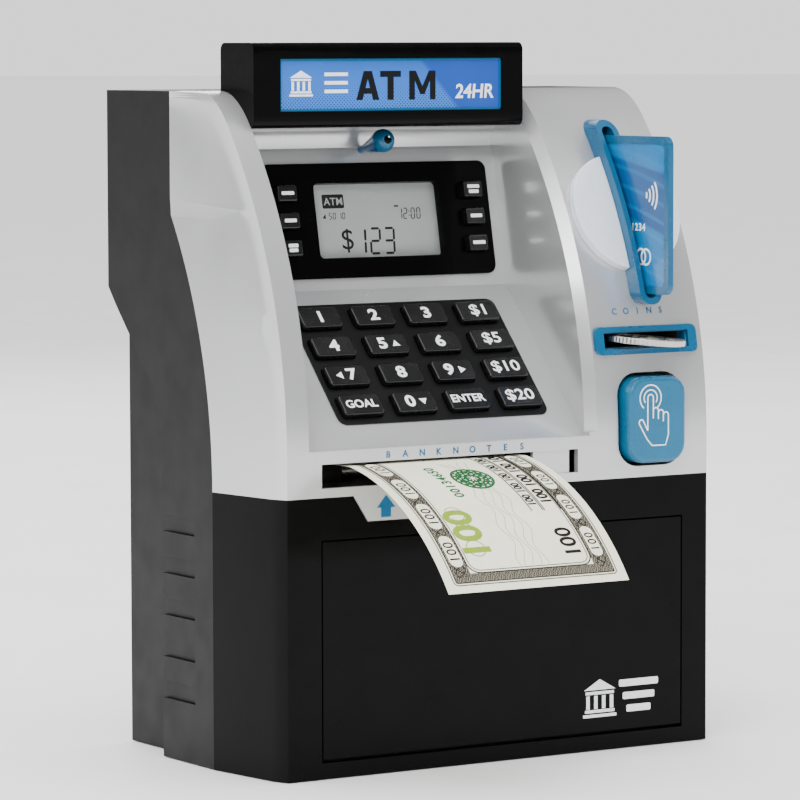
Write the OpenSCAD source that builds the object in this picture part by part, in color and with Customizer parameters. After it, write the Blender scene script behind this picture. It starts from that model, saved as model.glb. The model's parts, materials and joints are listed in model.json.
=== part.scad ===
// Toy cash machine money box: a silver fascia with a screen and a keypad over a black
// cash compartment with a drop-down door, a note slot, a coin slot and a card slot.
// +X is to the right seen from the front, -Y is the front, +Z is up. The origin is the
// centre of the underside. "d" in a name is a depth measured back from the front face.

/* [Body] */
// Width across the side shells
body_w = 173.2; // [170:0.4:178]
// Width across the front face's chamfered corners
front_w = 165; // [162:0.5:167]
// Depth from the front face to the back
body_d = 102; // [102:0.5:106]
// Height of the top of the shells
body_h = 213.8; // [213:0.2:215]
// Height of the seam between the black base and the silver fascia
base_h = 88.1; // [87.5:0.1:88.5]
// Wall thickness of the shells
wall = 2.2; // [1.8:0.1:2.6]
// Radius of the cheeks' curved front edge
cheek_r = 169; // [166:1:172]
// Height at which the cheeks start to curve back
cheek_z = 100; // [99:0.5:101]

/* [Screen and keypad] */
// Lean of the screen face from upright
screen_tilt = 11.3; // [10:0.1:13]
// Lean of the keypad face from upright
keypad_tilt = 43.5; // [42:0.1:45]
// Middle of the screen across the body
screen_x = -13.6; // [-15:0.1:-12]
// Middle of the keypad across the body
keypad_x = -15; // [-16:0.1:-14]
// Key width
key_w = 15; // [14:0.1:15.4]
// Key height along the slope
key_l = 8; // [7:0.1:8.2]
// How far the keys stand above the plate
key_rise = 2; // [1.5:0.1:2.5]
// Travel of a key or a screen button
key_travel = 1; // [0.5:0.1:1]

/* [Cash door] */
// Left edge of the door
door_x0 = -67.4; // [-68:0.1:-67]
// Right edge of the door
door_x1 = 69.9; // [69:0.1:70]
// Lower edge of the door
door_z0 = 6.1; // [6:0.1:6.5]
// Upper edge of the door
door_z1 = 74.3; // [73.5:0.1:74.5]
// Radius of the steel hinge pin
pin_r = 0.8; // [0.7:0.05:0.85]

/* [Note, coin and card] */
// Width of the play banknote
note_w = 66.4; // [65:0.1:67]
// Radius of the banknote's droop
note_bend_r = 85; // [80:1:90]
// Diameter of the play coin
coin_dia = 26.5; // [25:0.1:27]
// Height of the play bank card
card_h = 51; // [50:0.1:51.5]
// Length of the play bank card
card_l = 80.8; // [78:0.1:82]

/* [Hidden] */
$fn = 48;
KEYS = [
    "key_1", "key_2", "key_3", "key_1_dollar",
    "key_4", "key_5", "key_6", "key_5_dollar",
    "key_7", "key_8", "key_9", "key_10_dollar",
    "key_goal", "key_0", "key_enter", "key_20_dollar"
];
BUTTONS = [
    "screen_button_l1", "screen_button_l2", "screen_button_l3",
    "screen_button_r1", "screen_button_r2", "screen_button_r3"
];

front_y = -body_d / 2;
eps = 0.01;

// Body outlines, as [depth, height] points
seam_d = 35;
seam_r = 160;
seam_top_d = 60.8;
shoulder_z = 203;
shoulder_end_d = 53;
mid_low_d = 67.3;
corner_w = 2.3;
corner_d = 5.7;
rear_inset = 7.7;
shoulder_reach = 8.6;

function cheek_d(z) = z < cheek_z ? 0 : cheek_r - sqrt(pow(cheek_r, 2) - pow(z - cheek_z, 2));
function bezier(a, b, c, t) = pow(1 - t, 2) * a + 2 * t * (1 - t) * b + t * t * c;
function seam_arc(z) = seam_d + seam_r - sqrt(pow(seam_r, 2) - pow(z - base_h, 2));
seam_top_z = base_h + sqrt(pow(seam_r, 2) - pow(seam_r + seam_d - seam_top_d, 2));
shoulder_ctl = [cheek_d(shoulder_z) + shoulder_reach, body_h];

// Heights at which the curved front and the seam are sampled
level_count = 20;
levels = [
    for (i = [0:level_count]) base_h + (shoulder_z - base_h) * i / level_count
];
function seam_at(z) = z <= base_h ? seam_d : z >= seam_top_z ? seam_top_d : seam_arc(z);
shoulder_curve = [
    for (i = [1:6])
        bezier([cheek_d(shoulder_z), shoulder_z], shoulder_ctl, [shoulder_end_d, body_h], i / 6)
];
front_line = concat([[0, 0]], [for (z = levels) [cheek_d(z), z]], shoulder_curve);
seam_curve = [for (i = [level_count:-1:0]) [seam_at(levels[i]), levels[i]]];
front_outline = concat(front_line, [[seam_top_d, body_h]], seam_curve, [[seam_d, 0]]);
rear_slope = [
    [body_d, 150], [96.8, 144], [79.1, 125.6], [74.6, 121], [71.4, 116.4],
    [68.8, 111], [mid_low_d, 104]
];
middle_outline = concat(
    [[seam_d, 0]],
    [for (z = levels) [seam_at(z), z]],
    [[seam_top_d, body_h], [body_d, body_h]],
    rear_slope,
    [[mid_low_d, 0]]
);
rear_outline = concat(
    [[mid_low_d, 0]], [for (i = [len(rear_slope) - 1:-1:0]) rear_slope[i]], [[body_d, 0]]
);

// The user's recess between the cheeks
recess_x0 = -72.2;
recess_x1 = 33.5;
ledge_z = 102.6;
fold_d = 48.1;
fold_z = 149.4;
screen_top_z = 194;
liner = 2;
keypad_foot_d = fold_d - (fold_z - ledge_z) * tan(keypad_tilt);
screen_top_d = fold_d + (screen_top_z - fold_z) * tan(screen_tilt);
sign_back_d = 53.2;
cove_steps = 6;
cove_size = [4.4, 6.6];
cove_curve = [
    for (i = [0:cove_steps])
        let (a = 90 * i / cove_steps)
            [sign_back_d + cove_size[0] * cos(a), screen_top_z + 1 + cove_size[1] * sin(a)]
];
recess_outline = concat(
    [[-10, ledge_z], [keypad_foot_d, ledge_z], [fold_d, fold_z], [screen_top_d, screen_top_z]],
    cove_curve,
    [[sign_back_d, 240], [-10, 240]]
);

// Round-cornered rectangle as a plain polygon
function corner(cx, cy, r, a0, n) = [
    for (i = [0:n]) [cx + r * cos(a0 + 90 * i / n), cy + r * sin(a0 + 90 * i / n)]
];
function round_rect(w, h, r, n = 5) = concat(
    corner(w / 2 - r, h / 2 - r, r, 0, n), corner(r - w / 2, h / 2 - r, r, 90, n),
    corner(r - w / 2, r - h / 2, r, 180, n), corner(w / 2 - r, r - h / 2, r, 270, n)
);

// Extrudes a [depth, height] shape across the body from x0 to x1
module side_extrude(x0, x1) {
    translate([x0, front_y, 0]) rotate([90, 0, 90]) linear_extrude(x1 - x0) children();
}

// Extrudes a front-view [x, height] shape back from depth d0 to d1
module front_extrude(d0, d1) {
    translate([0, front_y + d1, 0]) rotate([90, 0, 0]) linear_extrude(d1 - d0) children();
}

// A box from its two corners, each [x, depth, z]
module block(a, b) {
    translate([a[0], front_y + a[1], a[2]]) cube([b[0] - a[0], b[1] - a[1], b[2] - a[2]]);
}

// A cylinder across the body, from x0 to x1 at depth d and height z
module rod_x(x0, x1, d, z, r) {
    translate([x0, front_y + d, z]) rotate([0, 90, 0]) cylinder(r = r, h = x1 - x0);
}

// A cylinder pointing back, from depth d0 to d1
module rod_y(x, z, d0, d1, r) {
    translate([x, front_y + d0, z]) rotate([-90, 0, 0]) cylinder(r = r, h = d1 - d0);
}

// Local frames on the two sloped faces: the fold line is the origin, Z runs up the slope
// and Y goes into the body
module on_screen() {
    translate([0, front_y + fold_d, fold_z]) rotate([-screen_tilt, 0, 0]) children();
}

module on_keypad() {
    translate([0, front_y + fold_d, fold_z]) rotate([-keypad_tilt, 0, 0]) children();
}

// A plate in a local frame: a polygon in X and Z, from y0 to y1
module plate(points, x, z, y0, y1) {
    translate([x, y1, z]) rotate([90, 0, 0]) linear_extrude(y1 - y0) polygon(points);
}

// The front shells' plan: a flat face, chamfered corners and flared sides
module plan_front(inset) {
    half = body_w / 2 - inset;
    side_half = front_w / 2 - inset;
    face_half = front_w / 2 - corner_w - inset;
    linear_extrude(body_h + 20)
        polygon([
            [-face_half, front_y - 10 * inset], [-face_half, front_y],
            [-side_half, front_y + corner_d], [-half, front_y + seam_d],
            [-half, front_y + seam_top_d + 30], [half, front_y + seam_top_d + 30],
            [half, front_y + seam_d], [side_half, front_y + corner_d],
            [face_half, front_y], [face_half, front_y - 10 * inset]
        ]);
}

module front_body() intersection() {
    plan_front(0);
    side_extrude(-body_w, body_w) polygon(front_outline);
}

// The hollow inside the front shells, open at the seam
module front_cavity() intersection() {
    plan_front(wall);
    side_extrude(-body_w, body_w)
        for (shift = [0, 3 * wall])
            translate([shift, 0]) offset(delta = -wall) polygon(front_outline);
}

slot_x0 = -67.6;
slot_x1 = 29;
slot_z0 = 91;
slot_z1 = 98.5;
filler_x = [12, 26];
tab_z = 79.9;
tab_top_x = [-56.7, 18.1];
tab_low_x = [-50.8, 12.2];
tab_gap = 0.25;

module tab_shape(grow) {
    polygon([
        [tab_top_x[0] - grow, base_h + 1], [tab_low_x[0] - grow, tab_z - grow],
        [tab_low_x[1] + grow, tab_z - grow], [tab_top_x[1] + grow, base_h + 1]
    ]);
}

door_gap = 0.5;
sill_z = 5;
hinge_d = 1.6;
hinge_z = door_z0 + hinge_d;
pin_end = 5;
lip_d = [2.7, 6.4];
lip_z = [72.9, 78];
tongue_z = 62;
tongue_half = 10;

module base_shell() color([0.03, 0.03, 0.035]) {
    difference() {
        union() {
            difference() {
                front_body();
                front_cavity();
                block([-body_w, -10, base_h], [body_w, body_d, 2 * body_h]);
            }
            // Bosses that hold the ends of the hinge pin
            block([door_x0 - pin_end - 4, 1, 1], [door_x0 - door_gap, 5, hinge_z + 4]);
            block([door_x1 + door_gap, 1, 1], [door_x1 + pin_end + 4, 5, hinge_z + 4]);
        }
        block([door_x0 - door_gap, -1, sill_z], [door_x1 + door_gap, 5 + eps, door_z1 + door_gap]);
        rod_x(door_x0 - pin_end, door_x1 + pin_end, hinge_d, hinge_z, pin_r);
        front_extrude(-1, 4) tab_shape(tab_gap);
    }
    // Stop lip behind the door's top edge, with the tongue that carries the magnet
    block([-65, wall - 0.2, door_z1 + door_gap], [67, lip_d[1], lip_z[1]]);
    block([-65, lip_d[0], lip_z[0]], [67, lip_d[1], door_z1 + door_gap + 0.1]);
    block([-tongue_half, 4.4, tongue_z], [tongue_half, lip_d[1], lip_z[0] + 0.1]);
}

card_x = 58.2;
card_slot_z = 173.75;
card_slot_h = 59.5;
disc_z = 173;
coin_x = 57.2;
coin_slot_z = 132.6;
touch_x = 57.8;
touch_z = 106.9;
camera_x = -17.2;
camera_tail = [56, 194.3];

module card_slot_shape() translate([card_x, card_slot_z])
    polygon(round_rect(card_slot_w, card_slot_h - card_slot_w, 2));

module touch_hole_shape() translate([touch_x, touch_z])
    polygon(round_rect(touch_hole[0], touch_hole[1], touch_hole_r));

fold_back = [44, 136];
fold_back_size = [12, 36];
screen_hole = [80, 32];
keypad_hole = [77.4, 47];
card_slot_w = 4.4;
touch_hole = [26, 30.4];
touch_hole_r = 7.5;
coin_slot = [33.4, 5.4];

module fascia() color([0.8, 0.81, 0.82]) {
    difference() {
        union() {
            difference() {
                front_body();
                difference() {
                    front_cavity();
                    // The lining of the recess
                    side_extrude(recess_x0 - liner, recess_x1 + liner)
                        offset(delta = liner) polygon(recess_outline);
                }
                block([-body_w, -10, -1], [body_w, body_d, base_h]);
            }
            front_extrude(0, wall) tab_shape(0);
            // The recess's fold reaches behind the seam, and its lining goes with it
            side_extrude(recess_x0 - liner, recess_x1 + liner) intersection() {
                offset(delta = liner) polygon(recess_outline);
                translate([fold_back[0], fold_back[1]]) square(fold_back_size);
            }
        }
        side_extrude(recess_x0, recess_x1) polygon(recess_outline);
        on_screen() {
            plate(round_rect(screen_hole[0], screen_hole[1], 2), screen_x, screen_mid, -6, 8);
            plate(round_rect(bezel_size[0], bezel_size[1], 3), screen_x, screen_mid, -6, seat);
        }
        on_keypad() {
            plate(round_rect(keypad_hole[0], keypad_hole[1], 2), keypad_x, keypad_mid, -6, 8);
            plate(round_rect(plate_size[0], plate_size[1], 3), keypad_x, keypad_mid, -6, seat);
        }
        block([slot_x0, -1, slot_z0], [filler_x[0], 4, slot_z1]);
        block([filler_x[1], -1, slot_z0], [slot_x1, 4, slot_z1]);
        block([filler_x[0] - 1, -1, slot_z0], [filler_x[1] + 1, 0.8, slot_z1]);
        front_extrude(-1, 45) card_slot_shape();
        front_extrude(-1, 12) translate([coin_x, coin_slot_z]) square(coin_slot, center = true);
        front_extrude(-1, 12) touch_hole_shape();
        rod_y(camera_x, camera_tail[1] + 1.2, 50, 66, 1.3);
    }
}

// Shallow vents in the lower sides of the middle shell
vent_z0 = 19.2;
vent_pitch = 13.45;
vent_h = 5.8;
vent_d0 = 46.6;
vent_depth = 1.2;
rear_mouth_x = 70;

module middle_shell() color([0.075, 0.077, 0.085]) {
    half = body_w / 2;
    // Posts that carry the main board
    for (x = [-34, 34])
        for (z = [162, 198])
            rod_y(x, z, 85.6, body_d - 1, 3);
    difference() {
        side_extrude(-half, half) polygon(middle_outline);
        // The hollow, open to the front
        side_extrude(wall - half, half - wall)
            for (shift = [0, -4 * wall])
                intersection() {
                    translate([shift, 0]) offset(delta = -wall) polygon(middle_outline);
                    translate([seam_d - 1, 0]) square([body_d, body_h]);
                }
        // The mouth that the rear cover closes
        block([-rear_mouth_x, 50, wall + 4], [rear_mouth_x, body_d - 10, 118]);
        for (s = [-1, 1])
            for (i = [0:4])
                translate([s * half, front_y + vent_d0, vent_z0 + i * vent_pitch])
                    translate([-vent_depth, 0, 0]) cube([2 * vent_depth, 40, vent_h]);
    }
}

battery_x = 31;
battery_z = [20, 72];
battery_d = [80, body_d];
battery_lip = 2;
battery_lid_d = 99.6;
speaker_z = 100;
grille_pitch = 5;
grille_r = 1.2;
screw_x = [-66, 66];
screw_z = [12, 112];
screw_head_d = 2.5;

module rear_cover() color([0.075, 0.077, 0.085]) {
    half = body_w / 2 - rear_inset;
    difference() {
        union() {
            difference() {
                side_extrude(-half, half) polygon(rear_outline);
                side_extrude(wall - half, half - wall)
                    for (shift = [0, -2 * wall])
                        translate([shift, 0]) offset(delta = -wall) polygon(rear_outline);
            }
            // Battery box let into the back
            block([-battery_x - wall, battery_d[0] - wall, battery_z[0] - wall],
                [battery_x + wall, body_d, battery_z[1] + wall]);
            for (x = screw_x)
                for (z = screw_z)
                    rod_y(x, z, body_d - 16, body_d - 1, 4);
        }
        block([-battery_x + battery_lip, battery_d[0], battery_z[0] + battery_lip],
            [battery_x - battery_lip, body_d + 1, battery_z[1] - battery_lip]);
        block([-battery_x, battery_lid_d, battery_z[0]], [battery_x, body_d + 1, battery_z[1]]);
        for (x = screw_x)
            for (z = screw_z) {
                rod_y(x, z, body_d - 17, body_d + 1, 1.5);
                rod_y(x, z, body_d - screw_head_d, body_d + 1, 3.2);
            }
        // Speaker grille
        for (ring = [0:2])
            for (i = [0:max(0, 6 * ring - 1)])
                let (a = 60 * i / max(1, ring), r = grille_pitch * ring)
                    rod_y(r * cos(a), speaker_z + r * sin(a), body_d - 5, body_d + 1, grille_r);
    }
}

sign_x = [-72.2, 29.6];
sign_z = [202, 229];
sign_d = [32.7, sign_back_d];
sign_r = 2.4;
lens_x = [-62.3, 21.6];
lens_z = [207.3, 223.9];
lens_lip = 1;
sign_wall = 2.4;

module sign_housing() color([0.03, 0.03, 0.035]) {
    depth = sign_d[1] - sign_d[0];
    height = sign_z[1] - sign_z[0];
    difference() {
        side_extrude(sign_x[0], sign_x[1])
            translate([sign_d[0] + depth / 2, sign_z[0] + height / 2])
                polygon(round_rect(depth, height, sign_r));
        block([lens_x[0], sign_d[0] - 1, lens_z[0]], [lens_x[1], sign_d[0] + 2, lens_z[1]]);
        block([lens_x[0] - lens_lip, sign_d[0] + 1, lens_z[0] - lens_lip],
            [lens_x[1] + lens_lip, sign_d[0] + 4, lens_z[1] + lens_lip]);
        block([sign_x[0] + sign_wall, sign_d[0] + 3.5, sign_z[0] + sign_wall],
            [sign_x[1] - sign_wall, sign_d[1] - sign_wall, sign_z[1] - sign_wall]);
    }
}

module sign_lens() color([0.1, 0.35, 0.8]) {
    block([lens_x[0] - lens_lip, sign_d[0] + 1, lens_z[0] - lens_lip],
        [lens_x[1] + lens_lip, sign_d[0] + 2.5, lens_z[1] + lens_lip]);
}

camera_lean = 14.4;
camera_r = 3.8;
camera_reach = 12.5;

module camera_dome() color([0.05, 0.35, 0.55]) {
    translate([camera_x, front_y + camera_tail[0], camera_tail[1]])
        rotate([90 - camera_lean, 0, 0]) {
            cylinder(r1 = 1.4, r2 = 3.6, h = camera_reach - 1);
            translate([0, 0, camera_reach]) sphere(r = camera_r);
        }
    rod_y(camera_x, camera_tail[1] + 1.2, camera_tail[0] - 1, 60, 1.3);
}

// Screen: a black bezel with a clear window, the display behind it and three buttons a side
bezel_size = [86.2, 37.6];
bezel_rise = 1;
seat = 1;
window_size = [48, 24.4];
pane_size = [54, 29];
window_y = 2;
button_size = [7.2, 5.3];
button_pitch = 8.9;
button_offset = 35.6;
button_rise = 3;
button_flange = 0.6;
button_back = 6.2;
screen_mid = 22.5;
tub_y = 5;
tub_fit = 0.2;
play = 0.3;

function screen_button_z(row) = screen_mid + (1 - row) * button_pitch;

module screen_bezel() color([0.03, 0.03, 0.035]) on_screen() {
    difference() {
        union() {
            plate(round_rect(bezel_size[0], bezel_size[1], 3), screen_x, screen_mid,
                -bezel_rise, seat);
            plate(round_rect(screen_hole[0] - tub_fit, screen_hole[1] - tub_fit, 2),
                screen_x, screen_mid, seat - eps, tub_y);
        }
        plate(round_rect(window_size[0], window_size[1], 1.5), screen_x, screen_mid, -2, 3);
        plate(round_rect(pane_size[0], pane_size[1], 1.5), screen_x, screen_mid, window_y, tub_y + 1);
        for (side = [-1, 1])
            for (row = [0:2])
                plate(round_rect(button_size[0] + 2 * play, button_size[1] + 2 * play, 1),
                    screen_x + side * button_offset, screen_button_z(row), -2, tub_y + 1);
    }
}

module lcd_window() color([0.75, 0.8, 0.8, 0.4]) on_screen()
    plate(round_rect(pane_size[0], pane_size[1], 1.5), screen_x, screen_mid, window_y, window_y + 1.2);

module lcd_module() color([0.55, 0.6, 0.55]) on_screen() {
    plate(round_rect(52, 27, 1), screen_x, screen_mid, window_y + 1.2, 8.4);
    plate(round_rect(88, 36, 1), screen_x, screen_mid, 8.4, 10);
}

module screen_button(i) color([0.04, 0.04, 0.045]) on_screen() {
    x = screen_x + (i < 3 ? -1 : 1) * button_offset;
    z = screen_button_z(i % 3);
    grown = 2 * button_flange;
    plate(round_rect(button_size[0], button_size[1], 0.8), x, z,
        -bezel_rise - button_rise, button_back);
    plate(round_rect(button_size[0] + grown, button_size[1] + grown, 0.8), x, z,
        tub_y + play, button_back);
}

// Keypad: a black plate over a rubber mat, with sixteen keys
plate_size = [79.2, 49];
plate_rise = 0.5;
plate_back = 2.6;
keypad_mid = -30.8;
key_pitch = [20.07, 12];
key_corner = 1.4;
key_flange = 0.8;
key_flange_t = 1;
mat_y = 5.3;

function key_x(i) = keypad_x + (i % 4 - 1.5) * key_pitch[0];
function key_z(i) = keypad_mid + (1.5 - floor(i / 4)) * key_pitch[1];

module keypad_plate() color([0.04, 0.04, 0.045]) on_keypad() {
    difference() {
        union() {
            plate(round_rect(plate_size[0], plate_size[1], 3), keypad_x, keypad_mid,
                -plate_rise, seat);
            plate(round_rect(keypad_hole[0] - 2 * tub_fit, keypad_hole[1] - 2 * tub_fit, 2),
                keypad_x, keypad_mid, seat - eps, plate_back);
        }
        for (i = [0:15])
            plate(round_rect(key_w + 2 * play, key_l + 2 * play, 1.6), key_x(i), key_z(i), -2, 4);
    }
}

module key_mat() color([0.5, 0.52, 0.5]) on_keypad()
    plate(round_rect(80, 49, 2), keypad_x, keypad_mid, mat_y, mat_y + 2);

module key(i) color([0.06, 0.06, 0.065]) on_keypad() {
    back = plate_back + play;
    grown = 2 * key_flange;
    plate(round_rect(key_w, key_l, key_corner), key_x(i), key_z(i),
        -plate_rise - key_rise, back + key_flange_t);
    plate(round_rect(key_w + grown, key_l + grown, key_corner), key_x(i), key_z(i),
        back, back + key_flange_t);
}

// Note feed: a guide with a driven rubber roller under the note and a pinch roller above
note_x = -24.6;
note_z = 97.5;
note_t = 0.4;
note_in = 88;
note_droop = [8, 54];
nip_gap = 0.3;
roller_d = 36;
tyre_r = 5;
feed_shaft_r = 2;
pinch_r = 4;
pinch_shaft_r = 1.5;
running = 0.05;
feed_z = note_z - note_t / 2 - nip_gap - tyre_r;
pinch_z = note_z + note_t / 2 + nip_gap + pinch_r;
tyre_x = [-50, -29, -8];
tyre_l = 9;
guide_x = [-69.6, 14];
guide_wall = 1.8;
gear_teeth = 30;
pinion_teeth = 10;
gear_module = 1;
mesh_gap = 0.2;
mesh_angle = -36.4;
gear_x = [15, 19];
centres = gear_module * (gear_teeth + pinion_teeth) / 2 + mesh_gap;
motor_d = roller_d + centres * cos(mesh_angle);
motor_z = feed_z + centres * sin(mesh_angle);
motor_r = 10;
motor_shaft_r = 1;

module note_guide() color([0.16, 0.16, 0.17]) {
    x_left = guide_x[0] + guide_wall;
    x_right = guide_x[1] - guide_wall;
    difference() {
        union() {
            block([guide_x[0], 3.5, 87.6], [guide_x[1], 43, 89.4]);
            block([guide_x[0], 28, 87.6], [x_left, 43, 106]);
            block([x_right, 28, 68], [guide_x[1], 64, 106]);
        }
        for (x = tyre_x)
            block([x - 1, roller_d - tyre_r - 0.6, 87], [x + tyre_l + 1, roller_d + tyre_r + 0.6, 90]);
        rod_x(guide_x[0] - 1, guide_x[1] + 1, roller_d, feed_z, feed_shaft_r + running);
        rod_x(guide_x[0] - 1, guide_x[1] + 1, roller_d, pinch_z, pinch_shaft_r + running);
        rod_x(x_right - 1, guide_x[1] + 1, motor_d, motor_z, 3);
    }
}

module feed_shaft() color([0.75, 0.75, 0.77])
    rod_x(guide_x[0] - 1, gear_x[1] + 0.5, roller_d, feed_z, feed_shaft_r);

module feed_tyres() color([0.08, 0.08, 0.08]) {
    for (x = tyre_x) difference() {
        rod_x(x, x + tyre_l, roller_d, feed_z, tyre_r);
        rod_x(x - 1, x + tyre_l + 1, roller_d, feed_z, feed_shaft_r);
    }
}

// A spur gear outline whose first tooth points along angle a
module gear_outline(teeth, a) {
    pitch_a = 360 / teeth;
    root = gear_module * (teeth / 2 - 1.1);
    tip = gear_module * (teeth / 2 + 0.8);
    polygon([
        for (i = [0:teeth - 1])
            for (p = [[-0.29, root], [-0.12, tip], [0.12, tip], [0.29, root]])
                let (t = a + (i + p[0]) * pitch_a) [p[1] * cos(t), p[1] * sin(t)]
    ]);
}

module feed_gear() color([0.9, 0.9, 0.85]) difference() {
    side_extrude(gear_x[0], gear_x[1])
        translate([roller_d, feed_z]) gear_outline(gear_teeth, mesh_angle);
    rod_x(gear_x[0] - 1, gear_x[1] + 1, roller_d, feed_z, feed_shaft_r);
}

module pinch_roller() color([0.1, 0.1, 0.1]) {
    rod_x(guide_x[0] - 1, guide_x[1] + 0.2, roller_d, pinch_z, pinch_shaft_r);
    for (x = tyre_x)
        rod_x(x, x + tyre_l, roller_d, pinch_z, pinch_r);
}

module feed_motor() color([0.7, 0.7, 0.72]) difference() {
    union() {
        rod_x(-16, guide_x[1] - guide_wall, motor_d, motor_z, motor_r);
        rod_x(0, guide_x[1], motor_d, motor_z, 3);
    }
    rod_x(-14, guide_x[1] + 1, motor_d, motor_z, motor_shaft_r + running);
}

module motor_pinion() color([0.9, 0.9, 0.85]) {
    rod_x(-13.5, gear_x[1] + 0.5, motor_d, motor_z, motor_shaft_r);
    side_extrude(gear_x[0], gear_x[1]) translate([motor_d, motor_z])
        gear_outline(pinion_teeth, 180 + mesh_angle + 180 / pinion_teeth);
}

// Banknote: flat inside the machine, drooping outside along an arc
note_steps = 16;

// A point at radius r on the droop, a degrees round from level
function droop(a, r) = [
    note_bend_r * sin(note_droop[0]) - r * sin(a),
    note_z - note_bend_r * cos(note_droop[0]) + r * cos(a)
];
function droop_line(r) = [
    for (i = [0:note_steps])
        droop(note_droop[0] + (note_droop[1] - note_droop[0]) * i / note_steps, r)
];

module banknote() color([0.85, 0.87, 0.78]) {
    upper = droop_line(note_bend_r + note_t / 2);
    lower = droop_line(note_bend_r - note_t / 2);
    side_extrude(note_x - note_w / 2, note_x + note_w / 2) polygon(concat(
        [[note_in, note_z + note_t / 2]], upper,
        [for (i = [note_steps:-1:0]) lower[i]], [[note_in, note_z - note_t / 2]]
    ));
}

// A band that follows the cheek's surface, from rise r0 to r1 above it
module cheek_band(r0, r1) {
    side_extrude(recess_x1 + 1, body_w / 2) difference() {
        offset(delta = r1) polygon(front_outline);
        offset(delta = r0) polygon(front_outline);
    }
}

frame_w = 8.6;
frame_rise = 6;
disc_r = 20.3;
disc_rise = 3;

module card_slot_frame() color([0.1, 0.5, 0.68]) difference() {
    intersection() {
        cheek_band(0, frame_rise);
        front_extrude(-12, 40)
            translate([card_x, card_slot_z]) polygon(round_rect(frame_w, card_slot_h, 4));
    }
    front_extrude(-13, 51) card_slot_shape();
}

module card_disc() color([0.88, 0.9, 0.92, 0.8]) difference() {
    slope = asin((disc_z - cheek_z) / cheek_r);
    intersection() {
        cheek_band(0, disc_rise);
        translate([card_x, front_y + cheek_d(disc_z), disc_z]) rotate([90 - slope, 0, 0])
            translate([0, 0, -4]) cylinder(r = disc_r, h = 10);
    }
    front_extrude(-12, 40)
        translate([card_x, card_slot_z]) polygon(round_rect(frame_w, card_slot_h, 4));
}

card_t = 2;
card_out = 10.2;
card_z = 173;

module bank_card() color([0.1, 0.5, 0.75])
    side_extrude(card_x - card_t / 2, card_x + card_t / 2)
        translate([card_l / 2 - card_out, card_z]) polygon(round_rect(card_l, card_h, 3));

reader_half = 4.2;
reader_reach = 29;
reader_d = [42, 74];
reader_mouth = 2.2;
reader_gap = 0.6;

module card_reader() color([0.16, 0.16, 0.17]) difference() {
    block([card_x - reader_half, reader_d[0], card_z - reader_reach],
        [card_x + reader_half, reader_d[1], card_z + reader_reach]);
    block([card_x - reader_mouth, reader_d[0] - 1, card_z - card_h / 2 - reader_gap],
        [card_x + reader_mouth, reader_d[1] - 2, card_z + card_h / 2 + reader_gap]);
}

coin_t = 2;

module coin_slot_frame() color([0.1, 0.5, 0.68]) difference() {
    intersection() {
        cheek_band(0, 1.5);
        front_extrude(-12, 20)
            translate([coin_x, coin_slot_z]) polygon(round_rect(40.2, 9, 2));
    }
    front_extrude(-13, 21) translate([coin_x, coin_slot_z]) square(coin_slot, center = true);
}

chute_wall = 1.5;
chute_half = 17.6;
chute_d = [7, 24, 36];
chute_z = [68, 128, 138];

module coin_chute() color([0.16, 0.16, 0.17]) difference() {
    half = chute_half - chute_wall;
    union() {
        block([coin_x - chute_half, chute_d[0], chute_z[1]],
            [coin_x + chute_half, chute_d[2], chute_z[2]]);
        block([coin_x - chute_half, chute_d[1], chute_z[0]],
            [coin_x + chute_half, chute_d[2], chute_z[2] - 1]);
    }
    block([coin_x - half, chute_d[0] - 1, chute_z[1] + chute_wall],
        [coin_x + half, chute_d[2] - chute_wall, chute_z[2] - chute_wall]);
    block([coin_x - half, chute_d[1] + chute_wall, chute_z[0] - 1],
        [coin_x + half, chute_d[2] - chute_wall, chute_z[2] - 2]);
}

module coin() color([0.8, 0.78, 0.7])
    translate([coin_x, front_y + 2.8, coin_slot_z - 0.2])
        rotate([2.5, 4, 0])
            translate([0, 0, -coin_t / 2]) cylinder(d = coin_dia, h = coin_t);

touch_size = [22.4, 28];
touch_rise = 4.2;
cup_wall = 2;

module touch_cup() color([0.05, 0.05, 0.055]) difference() {
    front_extrude(4.6, 12)
        translate([touch_x, touch_z])
            polygon(round_rect(touch_hole[0] + 2 * cup_wall, touch_hole[1] + 2 * cup_wall, 8));
    front_extrude(4, 10) touch_hole_shape();
}

module touch_button() color([0.1, 0.5, 0.7])
    front_extrude(-touch_rise, 7)
        translate([touch_x, touch_z]) polygon(round_rect(touch_size[0], touch_size[1], 6));

door_t = 2.4;
rib_d = 7;
rib_t = 1.6;
rib_in = 6;
rib_z = [13, 60];

module cash_door() color([0.03, 0.03, 0.035]) difference() {
    union() {
        block([door_x0, 0, door_z0], [door_x1, door_t, door_z1]);
        rod_x(door_x0, door_x1, hinge_d, hinge_z, hinge_d);
        difference() {
            block([door_x0 + rib_in, 1, rib_z[0]], [door_x1 - rib_in, rib_d, rib_z[1]]);
            block([door_x0 + rib_in + rib_t, 0, rib_z[0] + rib_t],
                [door_x1 - rib_in - rib_t, rib_d + 1, rib_z[1] - rib_t]);
        }
    }
    rod_x(door_x0 - 1, door_x1 + 1, hinge_d, hinge_z, pin_r + running);
}

module hinge_pin() color([0.75, 0.75, 0.77])
    rod_x(door_x0 - pin_end, door_x1 + pin_end, hinge_d, hinge_z, pin_r);

module door_magnet() color([0.45, 0.45, 0.47])
    block([-6, 3.4, 64], [6, 4.4, 71]);

tray_half = 76;
tray_d = [9.5, 64.8];
tray_z = [2.6, 62];
tray_wall = 1.6;

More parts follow.
